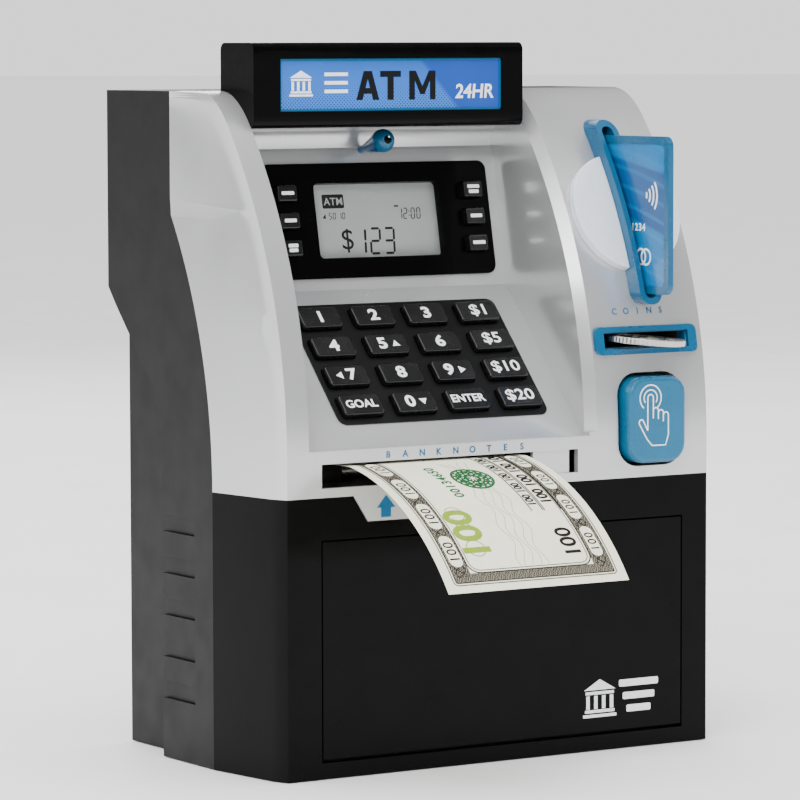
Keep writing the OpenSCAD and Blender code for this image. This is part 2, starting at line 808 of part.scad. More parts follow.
module cash_tray() color([0.16, 0.16, 0.17]) difference() {
    block([-tray_half, tray_d[0], tray_z[0]], [tray_half, tray_d[1], tray_z[1]]);
    block([tray_wall - tray_half, tray_d[0] - 1, tray_z[0] + tray_wall],
        [tray_half - tray_wall, tray_d[1] - tray_wall, tray_z[1] + 1]);
}

module main_board() color([0.05, 0.35, 0.15]) {
    block([-40, 84, 156], [40, 85.6, 204]);
    for (x = [-28, 0, 22])
        block([x - 6, 82, 172], [x + 6, 84 + eps, 184]);
}

module speaker() color([0.2, 0.2, 0.2]) {
    rod_y(0, speaker_z, 96, body_d - wall, 18);
    rod_y(0, speaker_z, 90.5, 96.1, 11);
}

module batteries() color([0.75, 0.55, 0.2])
    for (i = [0:2])
        rod_x(-25.2, 25.2, 90.8, 30.2 + 15.8 * i, 7.1);

module battery_door() color([0.075, 0.077, 0.085])
    block([-battery_x + play, battery_lid_d + 0.2, battery_z[0] + play],
        [battery_x - play, body_d, battery_z[1] - play]);

module screws() color([0.55, 0.55, 0.57])
    for (x = screw_x)
        for (z = screw_z) {
            rod_y(x, z, body_d - 15, body_d - 2, 1.5);
            rod_y(x, z, body_d - screw_head_d, body_d - 0.8, 3.1);
        }

base_shell();
fascia();
middle_shell();
rear_cover();
sign_housing();
sign_lens();
camera_dome();
screen_bezel();
lcd_window();
lcd_module();
keypad_plate();
key_mat();
note_guide();
feed_shaft();
feed_tyres();
feed_gear();
pinch_roller();
feed_motor();
motor_pinion();
card_slot_frame();
card_disc();
card_reader();
bank_card();
coin_slot_frame();
coin_chute();
coin();
touch_cup();
touch_button();
banknote();
cash_door();
hinge_pin();
door_magnet();
cash_tray();
main_board();
speaker();
batteries();
battery_door();
screws();
for (i = [0:15]) key(i);
for (i = [0:5]) screen_button(i);
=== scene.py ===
"""Looks of the toy cash machine money box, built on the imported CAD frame. Sizes are in mm unless said."""

import json
import math
from contextlib import contextmanager

import bmesh
import bpy
from mathutils import Euler, Matrix, Vector


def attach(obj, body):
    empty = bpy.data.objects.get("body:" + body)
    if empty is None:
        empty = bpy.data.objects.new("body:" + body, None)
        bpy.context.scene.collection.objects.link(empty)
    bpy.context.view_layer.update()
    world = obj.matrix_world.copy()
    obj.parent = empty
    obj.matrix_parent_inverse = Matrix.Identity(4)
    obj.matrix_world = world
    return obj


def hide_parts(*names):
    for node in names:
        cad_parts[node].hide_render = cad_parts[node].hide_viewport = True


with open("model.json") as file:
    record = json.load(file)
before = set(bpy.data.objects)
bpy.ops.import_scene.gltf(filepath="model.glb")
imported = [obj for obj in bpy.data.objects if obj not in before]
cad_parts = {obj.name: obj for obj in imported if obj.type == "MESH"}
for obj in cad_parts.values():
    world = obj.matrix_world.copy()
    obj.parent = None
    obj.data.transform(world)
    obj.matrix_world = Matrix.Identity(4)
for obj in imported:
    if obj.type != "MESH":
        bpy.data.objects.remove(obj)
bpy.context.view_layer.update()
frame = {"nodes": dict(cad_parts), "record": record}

MM = 0.001
FRONT_Y = -51.0  # row y of the front face
NODES = frame["nodes"]
RECORD = frame["record"]
SLOT_OF = {part["node"]: part["material_slot"] for part in RECORD["subparts"]}
BODY_OF = {n: b for b, members in RECORD["behaviour"]["bodies"].items() for n in members}


def at(x, depth, z):
    """A point in metres from mm, with depth measured back from the front face."""
    return Vector((x * MM, (FRONT_Y + depth) * MM, z * MM))


# ---- camera and light
CAMERA_AZIMUTH, CAMERA_ELEVATION, CAMERA_ROLL = -32.485, 4.615, -0.137
CAMERA_PLACE = (-0.78473, -1.22246, 0.22948)
CAMERA_LENS, CAMERA_SENSOR, CAMERA_REACH = 200.24, 36, 30
SKY_SEEN, SKY_LIGHT, SKY_MIRRORED = 1.42, 1.6, 0.3
LAMP_AIM = (0, 0, 0.11)
LAMPS = {  # place and size in metres, power in watts
    "key": ((-1.1, -1.0, 1.1), (0.7, 0.7), 17),
    "side": ((-1.5, 0.2, 0.7), (1.2, 1.4), 6),
    "fill": ((1.3, -0.5, 1.0), (0.8, 0.8), 5),
    "top": ((0.0, -0.2, 1.6), (1.2, 1.2), 15),
    "back": ((0.3, 1.4, 0.9), (1.0, 0.8), 10),
}
FLOOR_HALF, FLOOR_Z = 30.0, -0.0003


def linked(name, data):
    """A new object in the scene."""
    obj = bpy.data.objects.new(name, data)
    bpy.context.scene.collection.objects.link(obj)
    return obj


def make_camera():
    data = bpy.data.cameras.new("camera")
    data.lens, data.sensor_width, data.clip_end = CAMERA_LENS, CAMERA_SENSOR, CAMERA_REACH
    cam = linked("camera", data)
    a, e = math.radians(CAMERA_AZIMUTH), math.radians(CAMERA_ELEVATION)
    back = Vector((math.sin(a) * math.cos(e), -math.cos(a) * math.cos(e), math.sin(e)))
    right = (-back).cross(Vector((0, 0, 1))).normalized()
    basis = Matrix((right, back.cross(right), back)).transposed().to_4x4()
    roll = Matrix.Rotation(math.radians(CAMERA_ROLL), 4, "Z")
    cam.matrix_world = Matrix.Translation(CAMERA_PLACE) @ basis @ roll
    bpy.context.scene.camera = cam


def make_studio():
    world = bpy.data.worlds.new("studio")
    bpy.context.scene.world = world
    world.use_nodes = True
    tree = world.node_tree
    sky = tree.nodes["Background"]
    sky.inputs["Color"].default_value = (1.0, 1.0, 1.0, 1)
    # Pale behind the object, a soft light on it, and dim in reflections so that black plastic stays black
    path = tree.nodes.new("ShaderNodeLightPath")
    seen = tree.nodes.new("ShaderNodeMath")
    mirrored = tree.nodes.new("ShaderNodeMath")
    for node, share, base in ((seen, SKY_SEEN, SKY_LIGHT), (mirrored, SKY_MIRRORED, 0)):
        node.operation = "MULTIPLY_ADD"
        node.inputs[1].default_value = share - SKY_LIGHT
        node.inputs[2].default_value = base
    tree.links.new(path.outputs["Is Camera Ray"], seen.inputs[0])
    tree.links.new(path.outputs["Is Glossy Ray"], mirrored.inputs[0])
    tree.links.new(seen.outputs[0], mirrored.inputs[2])
    tree.links.new(mirrored.outputs[0], sky.inputs["Strength"])
    for name, (spot, size, power) in LAMPS.items():
        data = bpy.data.lights.new(name, "AREA")
        data.shape = "RECTANGLE"
        data.size, data.size_y = size
        data.energy = power
        lamp = linked(name, data)
        lamp.location = spot
        lamp.rotation_euler = (Vector(LAMP_AIM) - Vector(spot)).to_track_quat("-Z", "Y").to_euler()


# ---- materials
class Look:
    """A node material that starts as plain plastic and takes noise, bump and prints."""

    def __init__(self, name, colour, rough, metallic=0.0, coat=0.0, specular=0.5):
        self.material = bpy.data.materials.new(name)
        self.material.use_nodes = True
        self.tree = self.material.node_tree
        self.shader = self.tree.nodes["Principled BSDF"]
        self.colour = (*colour, 1)
        self.set("Base Color", self.colour)
        self.set("Roughness", rough)
        self.set("Metallic", metallic)
        self.set("Coat Weight", coat)
        self.set("Coat Roughness", 0.08)
        self.set("Specular IOR Level", specular)
        self.place = self.add("ShaderNodeTexCoord").outputs["Object"]
        self.normal = None

    def set(self, socket, value):
        self.shader.inputs[socket].default_value = value

    def add(self, kind, **values):
        node = self.tree.nodes.new(kind)
        for key, value in values.items():
            setattr(node, key, value)
        return node

    def join(self, out, into):
        self.tree.links.new(out, into)

    def noise(self, scale, detail=4.0, stretch=None):
        """Noise in mm: scale is about one blotch per that many mm."""
        node = self.add("ShaderNodeTexNoise")
        node.inputs["Scale"].default_value = 1 / (scale * MM)
        node.inputs["Detail"].default_value = detail
        place = self.place
        if stretch:
            mapping = self.add("ShaderNodeMapping")
            mapping.inputs["Scale"].default_value = stretch
            self.join(place, mapping.inputs["Vector"])
            place = mapping.outputs["Vector"]
        self.join(place, node.inputs["Vector"])
        return node.outputs["Fac"]

    def spread(self, value, low, high, start=0.3, end=0.7):
        """Maps start..end of a value to low..high."""
        node = self.add("ShaderNodeMapRange")
        for key, number in (("From Min", start), ("From Max", end), ("To Min", low), ("To Max", high)):
            node.inputs[key].default_value = number
        self.join(value, node.inputs["Value"])
        return node.outputs["Result"]

    def calc(self, operation, first, second=0):
        node = self.add("ShaderNodeMath", operation=operation)
        for socket, value in zip(node.inputs, (first, second)):
            if isinstance(value, (int, float)):
                socket.default_value = value
            else:
                self.join(value, socket)
        return node.outputs[0]

    def mix(self, factor, first, second):
        node = self.add("ShaderNodeMix", data_type="RGBA")
        self.join(factor, node.inputs["Factor"])
        for socket, value in ((node.inputs[6], first), (node.inputs[7], second)):
            if isinstance(value, tuple):
                socket.default_value = value if len(value) == 4 else (*value, 1)
            else:
                self.join(value, socket)
        return node.outputs[2]

    def axes(self):
        split = self.add("ShaderNodeSeparateXYZ")
        self.join(self.place, split.inputs[0])
        return split.outputs

    def bump(self, height, depth):
        """Depth is in mm."""
        node = self.add("ShaderNodeBump")
        node.inputs["Distance"].default_value = depth * MM
        node.inputs["Strength"].default_value = 1.0
        self.join(height, node.inputs["Height"])
        if self.normal:
            self.join(self.normal, node.inputs["Normal"])
        self.normal = node.outputs["Normal"]
        self.join(self.normal, self.shader.inputs["Normal"])

    def mottle(self, share, scale=14, paint=None):
        """Shifts the colour up and down a little in soft patches."""
        base = paint or self.colour
        fac = self.spread(self.noise(scale), 0, 1)
        if isinstance(base, tuple):
            dark = tuple(c * (1 - share) for c in base[:3])
            light = tuple(min(1, c * (1 + share)) for c in base[:3])
            out = self.mix(fac, dark, light)
        else:
            node = self.add("ShaderNodeHueSaturation")
            self.join(base, node.inputs["Color"])
            self.join(self.spread(fac, 1 - share, 1 + share, 0, 1), node.inputs["Value"])
            out = node.outputs["Color"]
        self.join(out, self.shader.inputs["Base Color"])
        return out

    def wear(self, low, high, drift=9):
        """Roughness that drifts between low and high over drift mm, rougher in fine handling marks."""
        soft = self.spread(self.noise(drift, 6), low, high)
        marks = self.spread(self.noise(0.7, 5, (1, 1, 0.35)), 0, (high - low) * 0.3, 0.55, 0.8)
        self.join(self.calc("ADD", soft, marks), self.shader.inputs["Roughness"])

    def grain(self, size, depth):
        self.bump(self.noise(size, 2), depth)

    def wave(self, kind, value, pitch):
        """The sine or cosine of a value, with that pitch."""
        return self.calc(kind, self.calc("MULTIPLY", value, math.tau / pitch))

    def finish(self, share, patch, low, high, drift=9, grain=None, paint=None):
        """Colour patches on the paint, roughness from low to high, and a grain of (size, depth)."""
        self.mottle(share, patch, paint)
        self.wear(low, high, drift)
        if grain:
            self.grain(*grain)
        return self.material


def gloss(name, colour, rough, coat, specular):
    look = Look(name, colour, rough, coat=coat, specular=specular)
    return look.finish(0.05, 14, rough * 0.75, rough * 1.35, grain=(2.5, 0.012))


def matt(name, colour, rough, grain=(0.35, 0.03), specular=0.5):
    look = Look(name, colour, rough, specular=specular)
    return look.finish(0.08, 14, rough * 0.88, rough * 1.12, grain=grain)


def metal(name, colour, rough, stretch=(1, 1, 1)):
    look = Look(name, colour, rough, metallic=1.0)
    look.finish(0.06, 6, rough * 0.7, rough * 1.4, 5)
    look.bump(look.noise(0.25, 3, stretch), 0.01)
    return look.material


def ink(name, colour, rough=0.45):
    look = Look(name, colour, rough, specular=0.2)
    return look.finish(0.07, 1.2, rough * 0.85, rough * 1.2, 3, (0.4, 0.004))


def silver_paint():
    """Light silver paint: fine flake under a clear coat."""
    look = Look("silver_paint", (0.6, 0.605, 0.61), 0.24, metallic=0.62, coat=0.45)
    flake = look.spread(look.noise(0.16, 1), 0.975, 1.025, 0.35, 0.65)
    node = look.add("ShaderNodeHueSaturation")
    node.inputs["Color"].default_value = look.colour
    look.join(flake, node.inputs["Value"])
    return look.finish(0.02, 30, 0.18, 0.26, 20, (0.5, 0.0015), node.outputs["Color"])


def lens_print():
    """The sign's blue panel: halftone dots that fade upward and a darker blue field."""
    look = Look("sign_print", (0.06, 0.24, 0.72), 0.2, coat=0.1, specular=0.3)
    x, _, z = look.axes()
    dots = look.calc("MULTIPLY", look.wave("COSINE", x, 1.25 * MM), look.wave("COSINE", z, 1.25 * MM))
    fade = look.spread(z, 0.15, 1.05, 207 * MM, 219 * MM)
    spots = look.spread(look.calc("SUBTRACT", dots, fade), 0, 1, 0, 0.12)
    field = look.spread(look.calc("ADD", x, look.calc("MULTIPLY", z, 0.9)), 0, 1, 191 * MM, 193 * MM)
    blue = look.mix(look.spread(z, 0, 1, 206 * MM, 225 * MM), (0.03, 0.17, 0.58), (0.012, 0.1, 0.44))
    dotted = look.mix(spots, blue, (0.003, 0.03, 0.2))
    full = look.mix(field, dotted, (0.005, 0.06, 0.34))
    return look.finish(0.04, 18, 0.16, 0.26, grain=(2.5, 0.008), paint=full)


def card_print():
    """The play card's face: broad curved bands of blue under fine rings."""
    look = Look("card_print", (0.002, 0.12, 0.34), 0.22, coat=0.15, specular=0.35)
    _, y, z = look.axes()
    slant = look.calc("ADD", z, look.calc("MULTIPLY", y, -0.18))
    sky = look.mix(
        look.spread(slant, 0, 1, 196.5 * MM, 197.5 * MM), (0.001, 0.06, 0.21), (0.004, 0.17, 0.42)
    )
    bend = look.calc("MULTIPLY", look.wave("SINE", y, math.tau / 60), 5 * MM)
    low = look.spread(look.calc("ADD", bend, z), 1, 0, 168 * MM, 169 * MM)
    waves = look.mix(low, sky, (0.003, 0.15, 0.38))
    ring = look.add("ShaderNodeTexWave", wave_type="RINGS", rings_direction="X")
    ring.inputs["Scale"].default_value = 55
    ring.inputs["Distortion"].default_value = 0.6
    look.join(look.place, ring.inputs["Vector"])
    lines = look.spread(ring.outputs["Fac"], 0, 0.35, 0.8, 0.95)
    printed = look.mix(lines, waves, (0.012, 0.24, 0.5))
    tinted = look.mix(look.spread(look.noise(30), 0, 0.4), printed, (0.002, 0.1, 0.3))
    return look.finish(0.04, 20, 0.18, 0.28, grain=(2.0, 0.006), paint=tinted)


def display_grey():
    """The display's liquid crystal: pale grey with a faint pixel grid."""
    look = Look("display", (0.56, 0.57, 0.55), 0.4)
    x, _, z = look.axes()
    grid = look.calc("MAXIMUM", look.wave("COSINE", x, 0.5 * MM), look.wave("COSINE", z, 0.5 * MM))
    lines = look.mix(look.spread(grid, 0, 0.5, 0.9, 1), (0.58, 0.59, 0.57), (0.5, 0.51, 0.49))
    return look.finish(0.03, 25, 0.35, 0.45, grain=(1.5, 0.004), paint=lines)


def clear_window():
    look = Look("clear_window", (0.98, 1.0, 1.0), 0.03, specular=0.4)
    look.set("Transmission Weight", 1.0)
    look.set("IOR", 1.2)
    look.wear(0.015, 0.06, 12)
    look.grain(6, 0.004)
    return look.material


def frosted_white():
    look = Look("frosted_white", (0.7, 0.74, 0.8), 0.26, coat=0.3)
    look.set("Subsurface Weight", 0.35)
    look.set("Subsurface Scale", 0.004)
    return look.finish(0.03, 10, 0.24, 0.38, grain=(1.5, 0.01))


def paper():
    """Banknote paper: cream with fibres and soft creases."""
    look = Look("note_paper", (0.85, 0.86, 0.76), 0.7, specular=0.2)
    tone = look.mix(look.spread(look.noise(16), 0, 1), (0.86, 0.84, 0.68), (0.8, 0.8, 0.65))
    fibres = look.spread(look.noise(0.6, 5, (1, 0.2, 1)), 0, 0.16, 0.58, 0.7)
    paint = look.mix(fibres, tone, (0.55, 0.52, 0.42))
    look.finish(0.03, 4, 0.62, 0.8, grain=(0.5, 0.02), paint=paint)
    look.bump(look.noise(22, 1), 0.25)
    return look.material


def band_print():
    """Line engraving for the note's borders: crossing sine lines in brown, in the mesh's u, v in mm."""
    look = Look("band_print", (0.5, 0.46, 0.4), 0.65, specular=0.2)
    look.place = look.add("ShaderNodeTexCoord").outputs["UV"]
    u, v, _ = look.axes()
    line = None
    for step, push in ((0.55, 0.9), (0.8, -1.4), (1.1, 0.5)):
        swing = look.calc("MULTIPLY", look.wave("SINE", v, push * 3), 0.45)
        strand = look.wave("SINE", look.calc("ADD", u, swing), step)
        line = strand if line is None else look.calc("MAXIMUM", line, strand)
    cover = look.mix(look.spread(line, 0, 1, 0.45, 0.8), (0.3, 0.275, 0.21), (0.01, 0.0075, 0.005))
    return look.finish(0.08, 3, 0.6, 0.75, paint=cover)


def circuit_board():
    look = Look("circuit_board", (0.02, 0.2, 0.07), 0.35, coat=0.3)
    x, _, z = look.axes()
    bricks = look.add("ShaderNodeTexBrick")
    for socket, value in (
        ("Scale", 160), ("Mortar Size", 0.012), ("Color1", (0.015, 0.17, 0.06, 1)),
        ("Color2", (0.03, 0.24, 0.09, 1)), ("Mortar", (0.28, 0.34, 0.12, 1)),
    ):
        bricks.inputs[socket].default_value = value
    flat = look.add("ShaderNodeCombineXYZ")
    look.join(x, flat.inputs[0])
    look.join(z, flat.inputs[1])
    look.join(flat.outputs[0], bricks.inputs["Vector"])
    look.finish(0.06, 10, 0.28, 0.42, paint=bricks.outputs["Color"])
    look.bump(bricks.outputs["Fac"], 0.03)
    return look.material


def battery_wrap():
    """Battery sleeves: dark body with a copper end band."""
    look = Look("battery_wrap", (0.05, 0.05, 0.05), 0.25, coat=0.3)
    copper = look.spread(look.axes()[0], 0, 1, 13.9 * MM, 14.1 * MM)
    sleeve = look.mix(copper, (0.03, 0.03, 0.035), (0.62, 0.3, 0.1))
    return look.finish(0.06, 8, 0.2, 0.32, grain=(1.5, 0.01), paint=sleeve)


SILVER = silver_paint()
GLOSS_BLACK = gloss("gloss_black_plastic", (0.0008, 0.0008, 0.0009), 0.2, 0.0, 0.09)
CHARCOAL = matt("charcoal_plastic", (0.0045, 0.0045, 0.005), 0.42, (0.3, 0.02), 0.2)
SATIN_BLACK = matt("satin_black_plastic", (0.003, 0.003, 0.0032), 0.36, (0.3, 0.008), 0.2)
KEY_BLACK = gloss("key_plastic", (0.004, 0.004, 0.0045), 0.24, 0.2, 0.4)
TEAL = gloss("teal_plastic", (0.0012, 0.085, 0.19), 0.24, 0.1, 0.4)
LIGHT_TEAL = gloss("light_teal_plastic", (0.002, 0.115, 0.23), 0.26, 0.1, 0.4)
FROSTED = frosted_white()
SIGN_BLUE = lens_print()
CLEAR = clear_window()
DISPLAY = display_grey()
GREY_RUBBER = matt("grey_rubber", (0.25, 0.26, 0.25), 0.7)
BLACK_RUBBER = matt("black_rubber", (0.02, 0.02, 0.02), 0.75)
INNER_GREY = matt("inner_grey", (0.045, 0.045, 0.048), 0.5)
NYLON = matt("white_nylon", (0.74, 0.74, 0.69), 0.4)
STEEL = metal("steel", (0.58, 0.58, 0.6), 0.28, stretch=(0.05, 1, 1))
COIN_METAL = metal("coin_metal", (0.74, 0.72, 0.66), 0.3)
BOARD = circuit_board()
WRAP = battery_wrap()
CARD_FACE = card_print()
PAPER = paper()
BAND = band_print()
WHITE_INK = ink("white_ink", (0.86, 0.87, 0.88))
BLACK_INK = ink("black_ink", (0.003, 0.003, 0.0035), 0.4)
BLUE_INK = ink("blue_ink", (0.002, 0.1, 0.22))
BROWN_INK = ink("brown_ink", (0.01, 0.0075, 0.0055), 0.6)
GREEN_INK = ink("green_ink", (0.004, 0.11, 0.03), 0.6)
LIME_INK = ink("lime_ink", (0.22, 0.33, 0.02), 0.6)
SEGMENT = ink("segment_ink", (0.016, 0.016, 0.017), 0.5)
LOOK_OF_SLOT = {
    "gloss_black": GLOSS_BLACK, "silver": SILVER, "charcoal": CHARCOAL, "sign_blue": SIGN_BLUE,
    "teal": TEAL, "clear": CLEAR, "lcd": DISPLAY, "satin_black": SATIN_BLACK,
    "grey_rubber": GREY_RUBBER, "inner_grey": INNER_GREY, "steel": STEEL,
    "black_rubber": BLACK_RUBBER, "white_nylon": NYLON, "frosted": FROSTED, "card_blue": TEAL,
    "coin_metal": COIN_METAL, "note_paper": PAPER, "circuit_green": BOARD,
    "battery_wrap": WRAP, "key_black": KEY_BLACK,
}


# ---- mesh tools
WELD = 2e-6  # corners this close in metres are one corner


def applied(obj):
    """The object's mesh with its modifiers applied; the object goes."""
    bpy.context.view_layer.update()
    graph = bpy.context.evaluated_depsgraph_get()
    mesh = bpy.data.meshes.new_from_object(obj.evaluated_get(graph))
    bpy.data.objects.remove(obj)
    return mesh


@contextmanager
def editing(mesh):
    bm = bmesh.new()
    bm.from_mesh(mesh)
    yield bm
    bm.to_mesh(mesh)
    bm.free()


def place(name, mesh, look, body="machine", slot=None, stands_for=None):
    obj = linked(name, mesh)
    mesh.materials.clear()
    mesh.materials.append(look)
    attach(obj, body)
    if stands_for:
        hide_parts(stands_for)
    return obj


def stand_in(node, mesh, look, name=None):
    """Places a mesh that stands for a CAD node, on the node's body."""
    return place(name or node + "_shape", mesh, look, BODY_OF[node], SLOT_OF[node], node)


def tidy_mesh(mesh, angle=0.6):
    """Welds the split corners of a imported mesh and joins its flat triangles."""
    if "custom_normal" in mesh.attributes:
        mesh.attributes.remove(mesh.attributes["custom_normal"])
    with editing(mesh) as bm:
        bmesh.ops.remove_doubles(bm, verts=bm.verts, dist=WELD)
        bmesh.ops.dissolve_limit(bm, angle_limit=math.radians(angle), verts=bm.verts, edges=bm.edges)


def cut_along(bm, point, normal, dist=WELD):
    parts = bm.verts[:] + bm.edges[:] + bm.faces[:]
    bmesh.ops.bisect_plane(bm, geom=parts, plane_co=point, plane_no=normal, dist=dist)


def score(mesh, planes):
    """Scores flat faces along planes through their holes, so that no face wraps round one."""
    if not planes:
        return
    with editing(mesh) as bm:
        for point, normal in planes:
            cut_along(bm, point, normal)
        bmesh.ops.connect_verts_concave(bm, faces=bm.faces)


def across(xs):
    return [(at(x, 0, 0), (1, 0, 0)) for x in xs]


def level(zs):
    return [(at(0, 0, z), (0, 0, 1)) for z in zs]


def up_slope(slope, zs):
    """Planes square to a sloped face, at heights up the slope."""
    way = slope.point(0, 0, 1) - slope.point(0, 0, 0)
    return [(slope.point(0, 0, z), way.normalized()) for z in zs]


def rounded(mesh, width, segments=3, angle=30):
    """Rounds the edges sharper than the angle and shades the rest smooth."""
    obj = linked("rounding", mesh)
    bevel = obj.modifiers.new("bevel", "BEVEL")
    bevel.width = width * MM
    bevel.segments = segments
    bevel.limit_method = "ANGLE"
    bevel.angle_limit = math.radians(angle)
    bevel.miter_outer = "MITER_ARC"
    return shaded(applied(obj))


def shaded(mesh, angle=38):
    mesh.polygons.foreach_set("use_smooth", [True] * len(mesh.polygons))
    mesh.set_sharp_from_angle(angle=math.radians(angle))
    return mesh


def weighted(obj):
    """Keeps flat faces flat beside their rounded edges."""
    obj.modifiers.new("normals", "WEIGHTED_NORMAL").keep_sharp = True


def refine(node, width, look=None, segments=3, planes=()):
    """A rounded copy of a CAD node stands for it."""
    mesh = NODES[node].data.copy()
    tidy_mesh(mesh)
    score(mesh, planes)
    weighted(stand_in(node, rounded(mesh, width, segments), look or LOOK_OF_SLOT[SLOT_OF[node]]))


def fixed(mesh):
    """Turns every face outward."""
    with editing(mesh) as bm:
        bmesh.ops.recalc_face_normals(bm, faces=bm.faces)
    return mesh


def mesh_of(verts, faces):
    mesh = bpy.data.meshes.new("mesh")
    mesh.from_pydata([tuple(v) for v in verts], [], faces)
    mesh.validate()
    return fixed(mesh)


def boolean(mesh, others, operation="DIFFERENCE"):
    """Cuts, joins or intersects meshes in turn."""
    obj = linked("solid", mesh)
    tools = [linked("tool", other) for other in others]
    for tool in tools:
        step = obj.modifiers.new("step", "BOOLEAN")
        step.operation = operation
        step.solver = "MANIFOLD"
        step.object = tool
    out = applied(obj)
    for tool in tools:
        bpy.data.objects.remove(tool)
    return out


def extruded(outline, low, high, to_point):
    """A solid between two copies of an outline: to_point takes its two numbers and low or high."""
    n = len(outline)
    verts = [to_point(a, b, end) for end in (low, high) for a, b in outline]
    faces = [list(range(n))[::-1], list(range(n, 2 * n))]
    faces += [[i, (i + 1) % n, n + (i + 1) % n, n + i] for i in range(n)]
    return mesh_of(verts, faces)


def prism(outline, x0, x1):
    """An extrusion across the body of a [depth, height] outline."""
    return extruded(outline, x0, x1, lambda d, z, x: at(x, d, z))


def block(a, b):
    return prism([(a[1], a[2]), (b[1], a[2]), (b[1], b[2]), (a[1], b[2])], a[0], b[0])


def slab(outline, depth0, depth1, to_world=at):
    """An extrusion of an [x, height] outline between two depths, of the body or of a slope."""
    n = len(outline)
    verts = [to_world(x, d, z) for d in (depth0, depth1) for x, z in outline]
    faces = [list(range(n)), list(range(n, 2 * n))[::-1]]
    faces += [[i, n + i, n + (i + 1) % n, (i + 1) % n] for i in range(n)]
    return mesh_of(verts, faces)


def round_rect(cx, cz, w, h, r, steps=6):
    points = []
    for sx, sz, start in ((1, 1, 0), (-1, 1, 90), (-1, -1, 180), (1, -1, 270)):
        points += circle(cx + sx * (w / 2 - r), cz + sz * (h / 2 - r), r, start, 90, steps)
    return points


def joined(meshes):
    out = bpy.data.meshes.new("joined")
    bm = bmesh.new()
    for mesh in meshes:
        bm.from_mesh(mesh)
    bm.to_mesh(out)
    bm.free()
    return out


def lathe(profile, steps=40):
    """A closed solid of revolution about local Z from [radius, height] points, in mm."""
    verts = [(x, y, h) for r, h in profile for x, y in circle(0, 0, r, steps=steps)]
    faces = []
    for k in range(len(profile) - 1):
        for i in range(steps):
            j = (i + 1) % steps
            faces.append([k * steps + i, k * steps + j, (k + 1) * steps + j, (k + 1) * steps + i])
    faces.append(list(range(steps))[::-1])
    faces.append([(len(profile) - 1) * steps + i for i in range(steps)])
    mesh = mesh_of(verts, faces)
    with editing(mesh) as bm:
        bmesh.ops.remove_doubles(bm, verts=bm.verts, dist=1e-5)
        bmesh.ops.recalc_face_normals(bm, faces=bm.faces)
    return shaded(mesh)


# ---- prints
PRINT_T = 0.05  # thickness of a print
PRINT_GAP = 0.01
CAP_SHARE = 0.73  # height of a capital as a share of the text size


class Sheet:
    """A flat face that prints lie on: an origin and the directions to its right, up and out of it."""

    def __init__(self, origin, right=(1, 0, 0), up=(0, 0, 1)):
        right, up = Vector(right).normalized(), Vector(up).normalized()
        basis = Matrix((right, up, right.cross(up))).transposed().to_4x4()
        self.matrix = Matrix.Translation(origin) @ basis


def lettering(text, size, bold=0.0, spacing=1.0, shear=0.0, wide=1.0, thick=PRINT_T):
    """A flat mesh of generic characters, centred, in mm."""
    data = bpy.data.curves.new("text", "FONT")
    data.body = text
    data.size = size
    data.offset = bold
    data.space_character = spacing
    data.shear = shear
    data.align_x = data.align_y = "CENTER"
    data.extrude = thick / 2
    data.resolution_u = 4
    mesh = applied(linked("text", data))
    mesh.transform(Matrix.Diagonal((wide, 1, 1, 1)))
    xs = [v.co.x for v in mesh.vertices]
    ys = [v.co.y for v in mesh.vertices]
    return moved(mesh, -(min(xs) + max(xs)) / 2, -(min(ys) + max(ys)) / 2)


def flat_shape(outline, thick=PRINT_T):
    """A thin solid from an [x, y] outline in mm."""
    return extruded(outline, -thick / 2, thick / 2, lambda x, y, z: (x, y, z))


def flat_box(x0, y0, x1, y1):
    return flat_shape([(x0, y0), (x1, y0), (x1, y1), (x0, y1)])


def bar(cx, cy, w, h, r=0.3):
    return flat_shape(round_rect(cx, cy, w, h, min(r, h / 2 - 0.01, w / 2 - 0.01), 3))


def stroke(points, width, closed=False, thick=PRINT_T):
    """A thin ribbon along [x, y] points."""
    n = len(points)
    left, right = [], []
    for i, (x, y) in enumerate(points):
        a = points[(i - 1) % n] if closed or i else points[i]
        b = points[(i + 1) % n] if closed or i < n - 1 else points[i]
        dx, dy = b[0] - a[0], b[1] - a[1]
        length = math.hypot(dx, dy) or 1
        nx, ny = -dy / length * width / 2, dx / length * width / 2
        left.append((x + nx, y + ny))
        right.append((x - nx, y - ny))
    rows = ((left, -1), (left, 1), (right, 1), (right, -1))
    verts = [(*p, side * thick / 2) for row, side in rows for p in row]
    faces = []
    for k in range(4):
        for i in range(n if closed else n - 1):
            j = (i + 1) % n
            faces.append([k * n + i, k * n + j, (k + 1) % 4 * n + j, (k + 1) % 4 * n + i])
    if not closed:
        faces += [[0, n, 2 * n, 3 * n], [n - 1, 4 * n - 1, 3 * n - 1, 2 * n - 1]]
    return mesh_of(verts, faces)


def circle(cx, cy, r, start=0.0, sweep=360.0, steps=24):
    """Points round a circle, or along an arc with both its ends."""
    count = steps if abs(sweep) >= 360 else steps + 1
    angles = [math.radians(start + sweep * i / steps) for i in range(count)]
    return [(cx + r * math.cos(a), cy + r * math.sin(a)) for a in angles]


def moved(mesh, x, y, turn=0.0):
    mesh.transform(Matrix.Translation((x, y, 0)) @ Matrix.Rotation(math.radians(turn), 4, "Z"))
    return mesh


def print_on(sheet, name, meshes, look, body="machine"):
    """Puts flat meshes in mm on a sheet, standing proud of it."""
    for i, part in enumerate(meshes):
        part.transform(Matrix.Translation((0, 0, 0.003 * (i % 7))))  # crossing strokes never share a plane
    mesh = joined(meshes)
    mesh.transform(Matrix.Translation((0, 0, PRINT_T / 2 + PRINT_GAP)))
    mesh.transform(sheet.matrix @ Matrix.Scale(MM, 4))
    place(name, mesh, look, body)


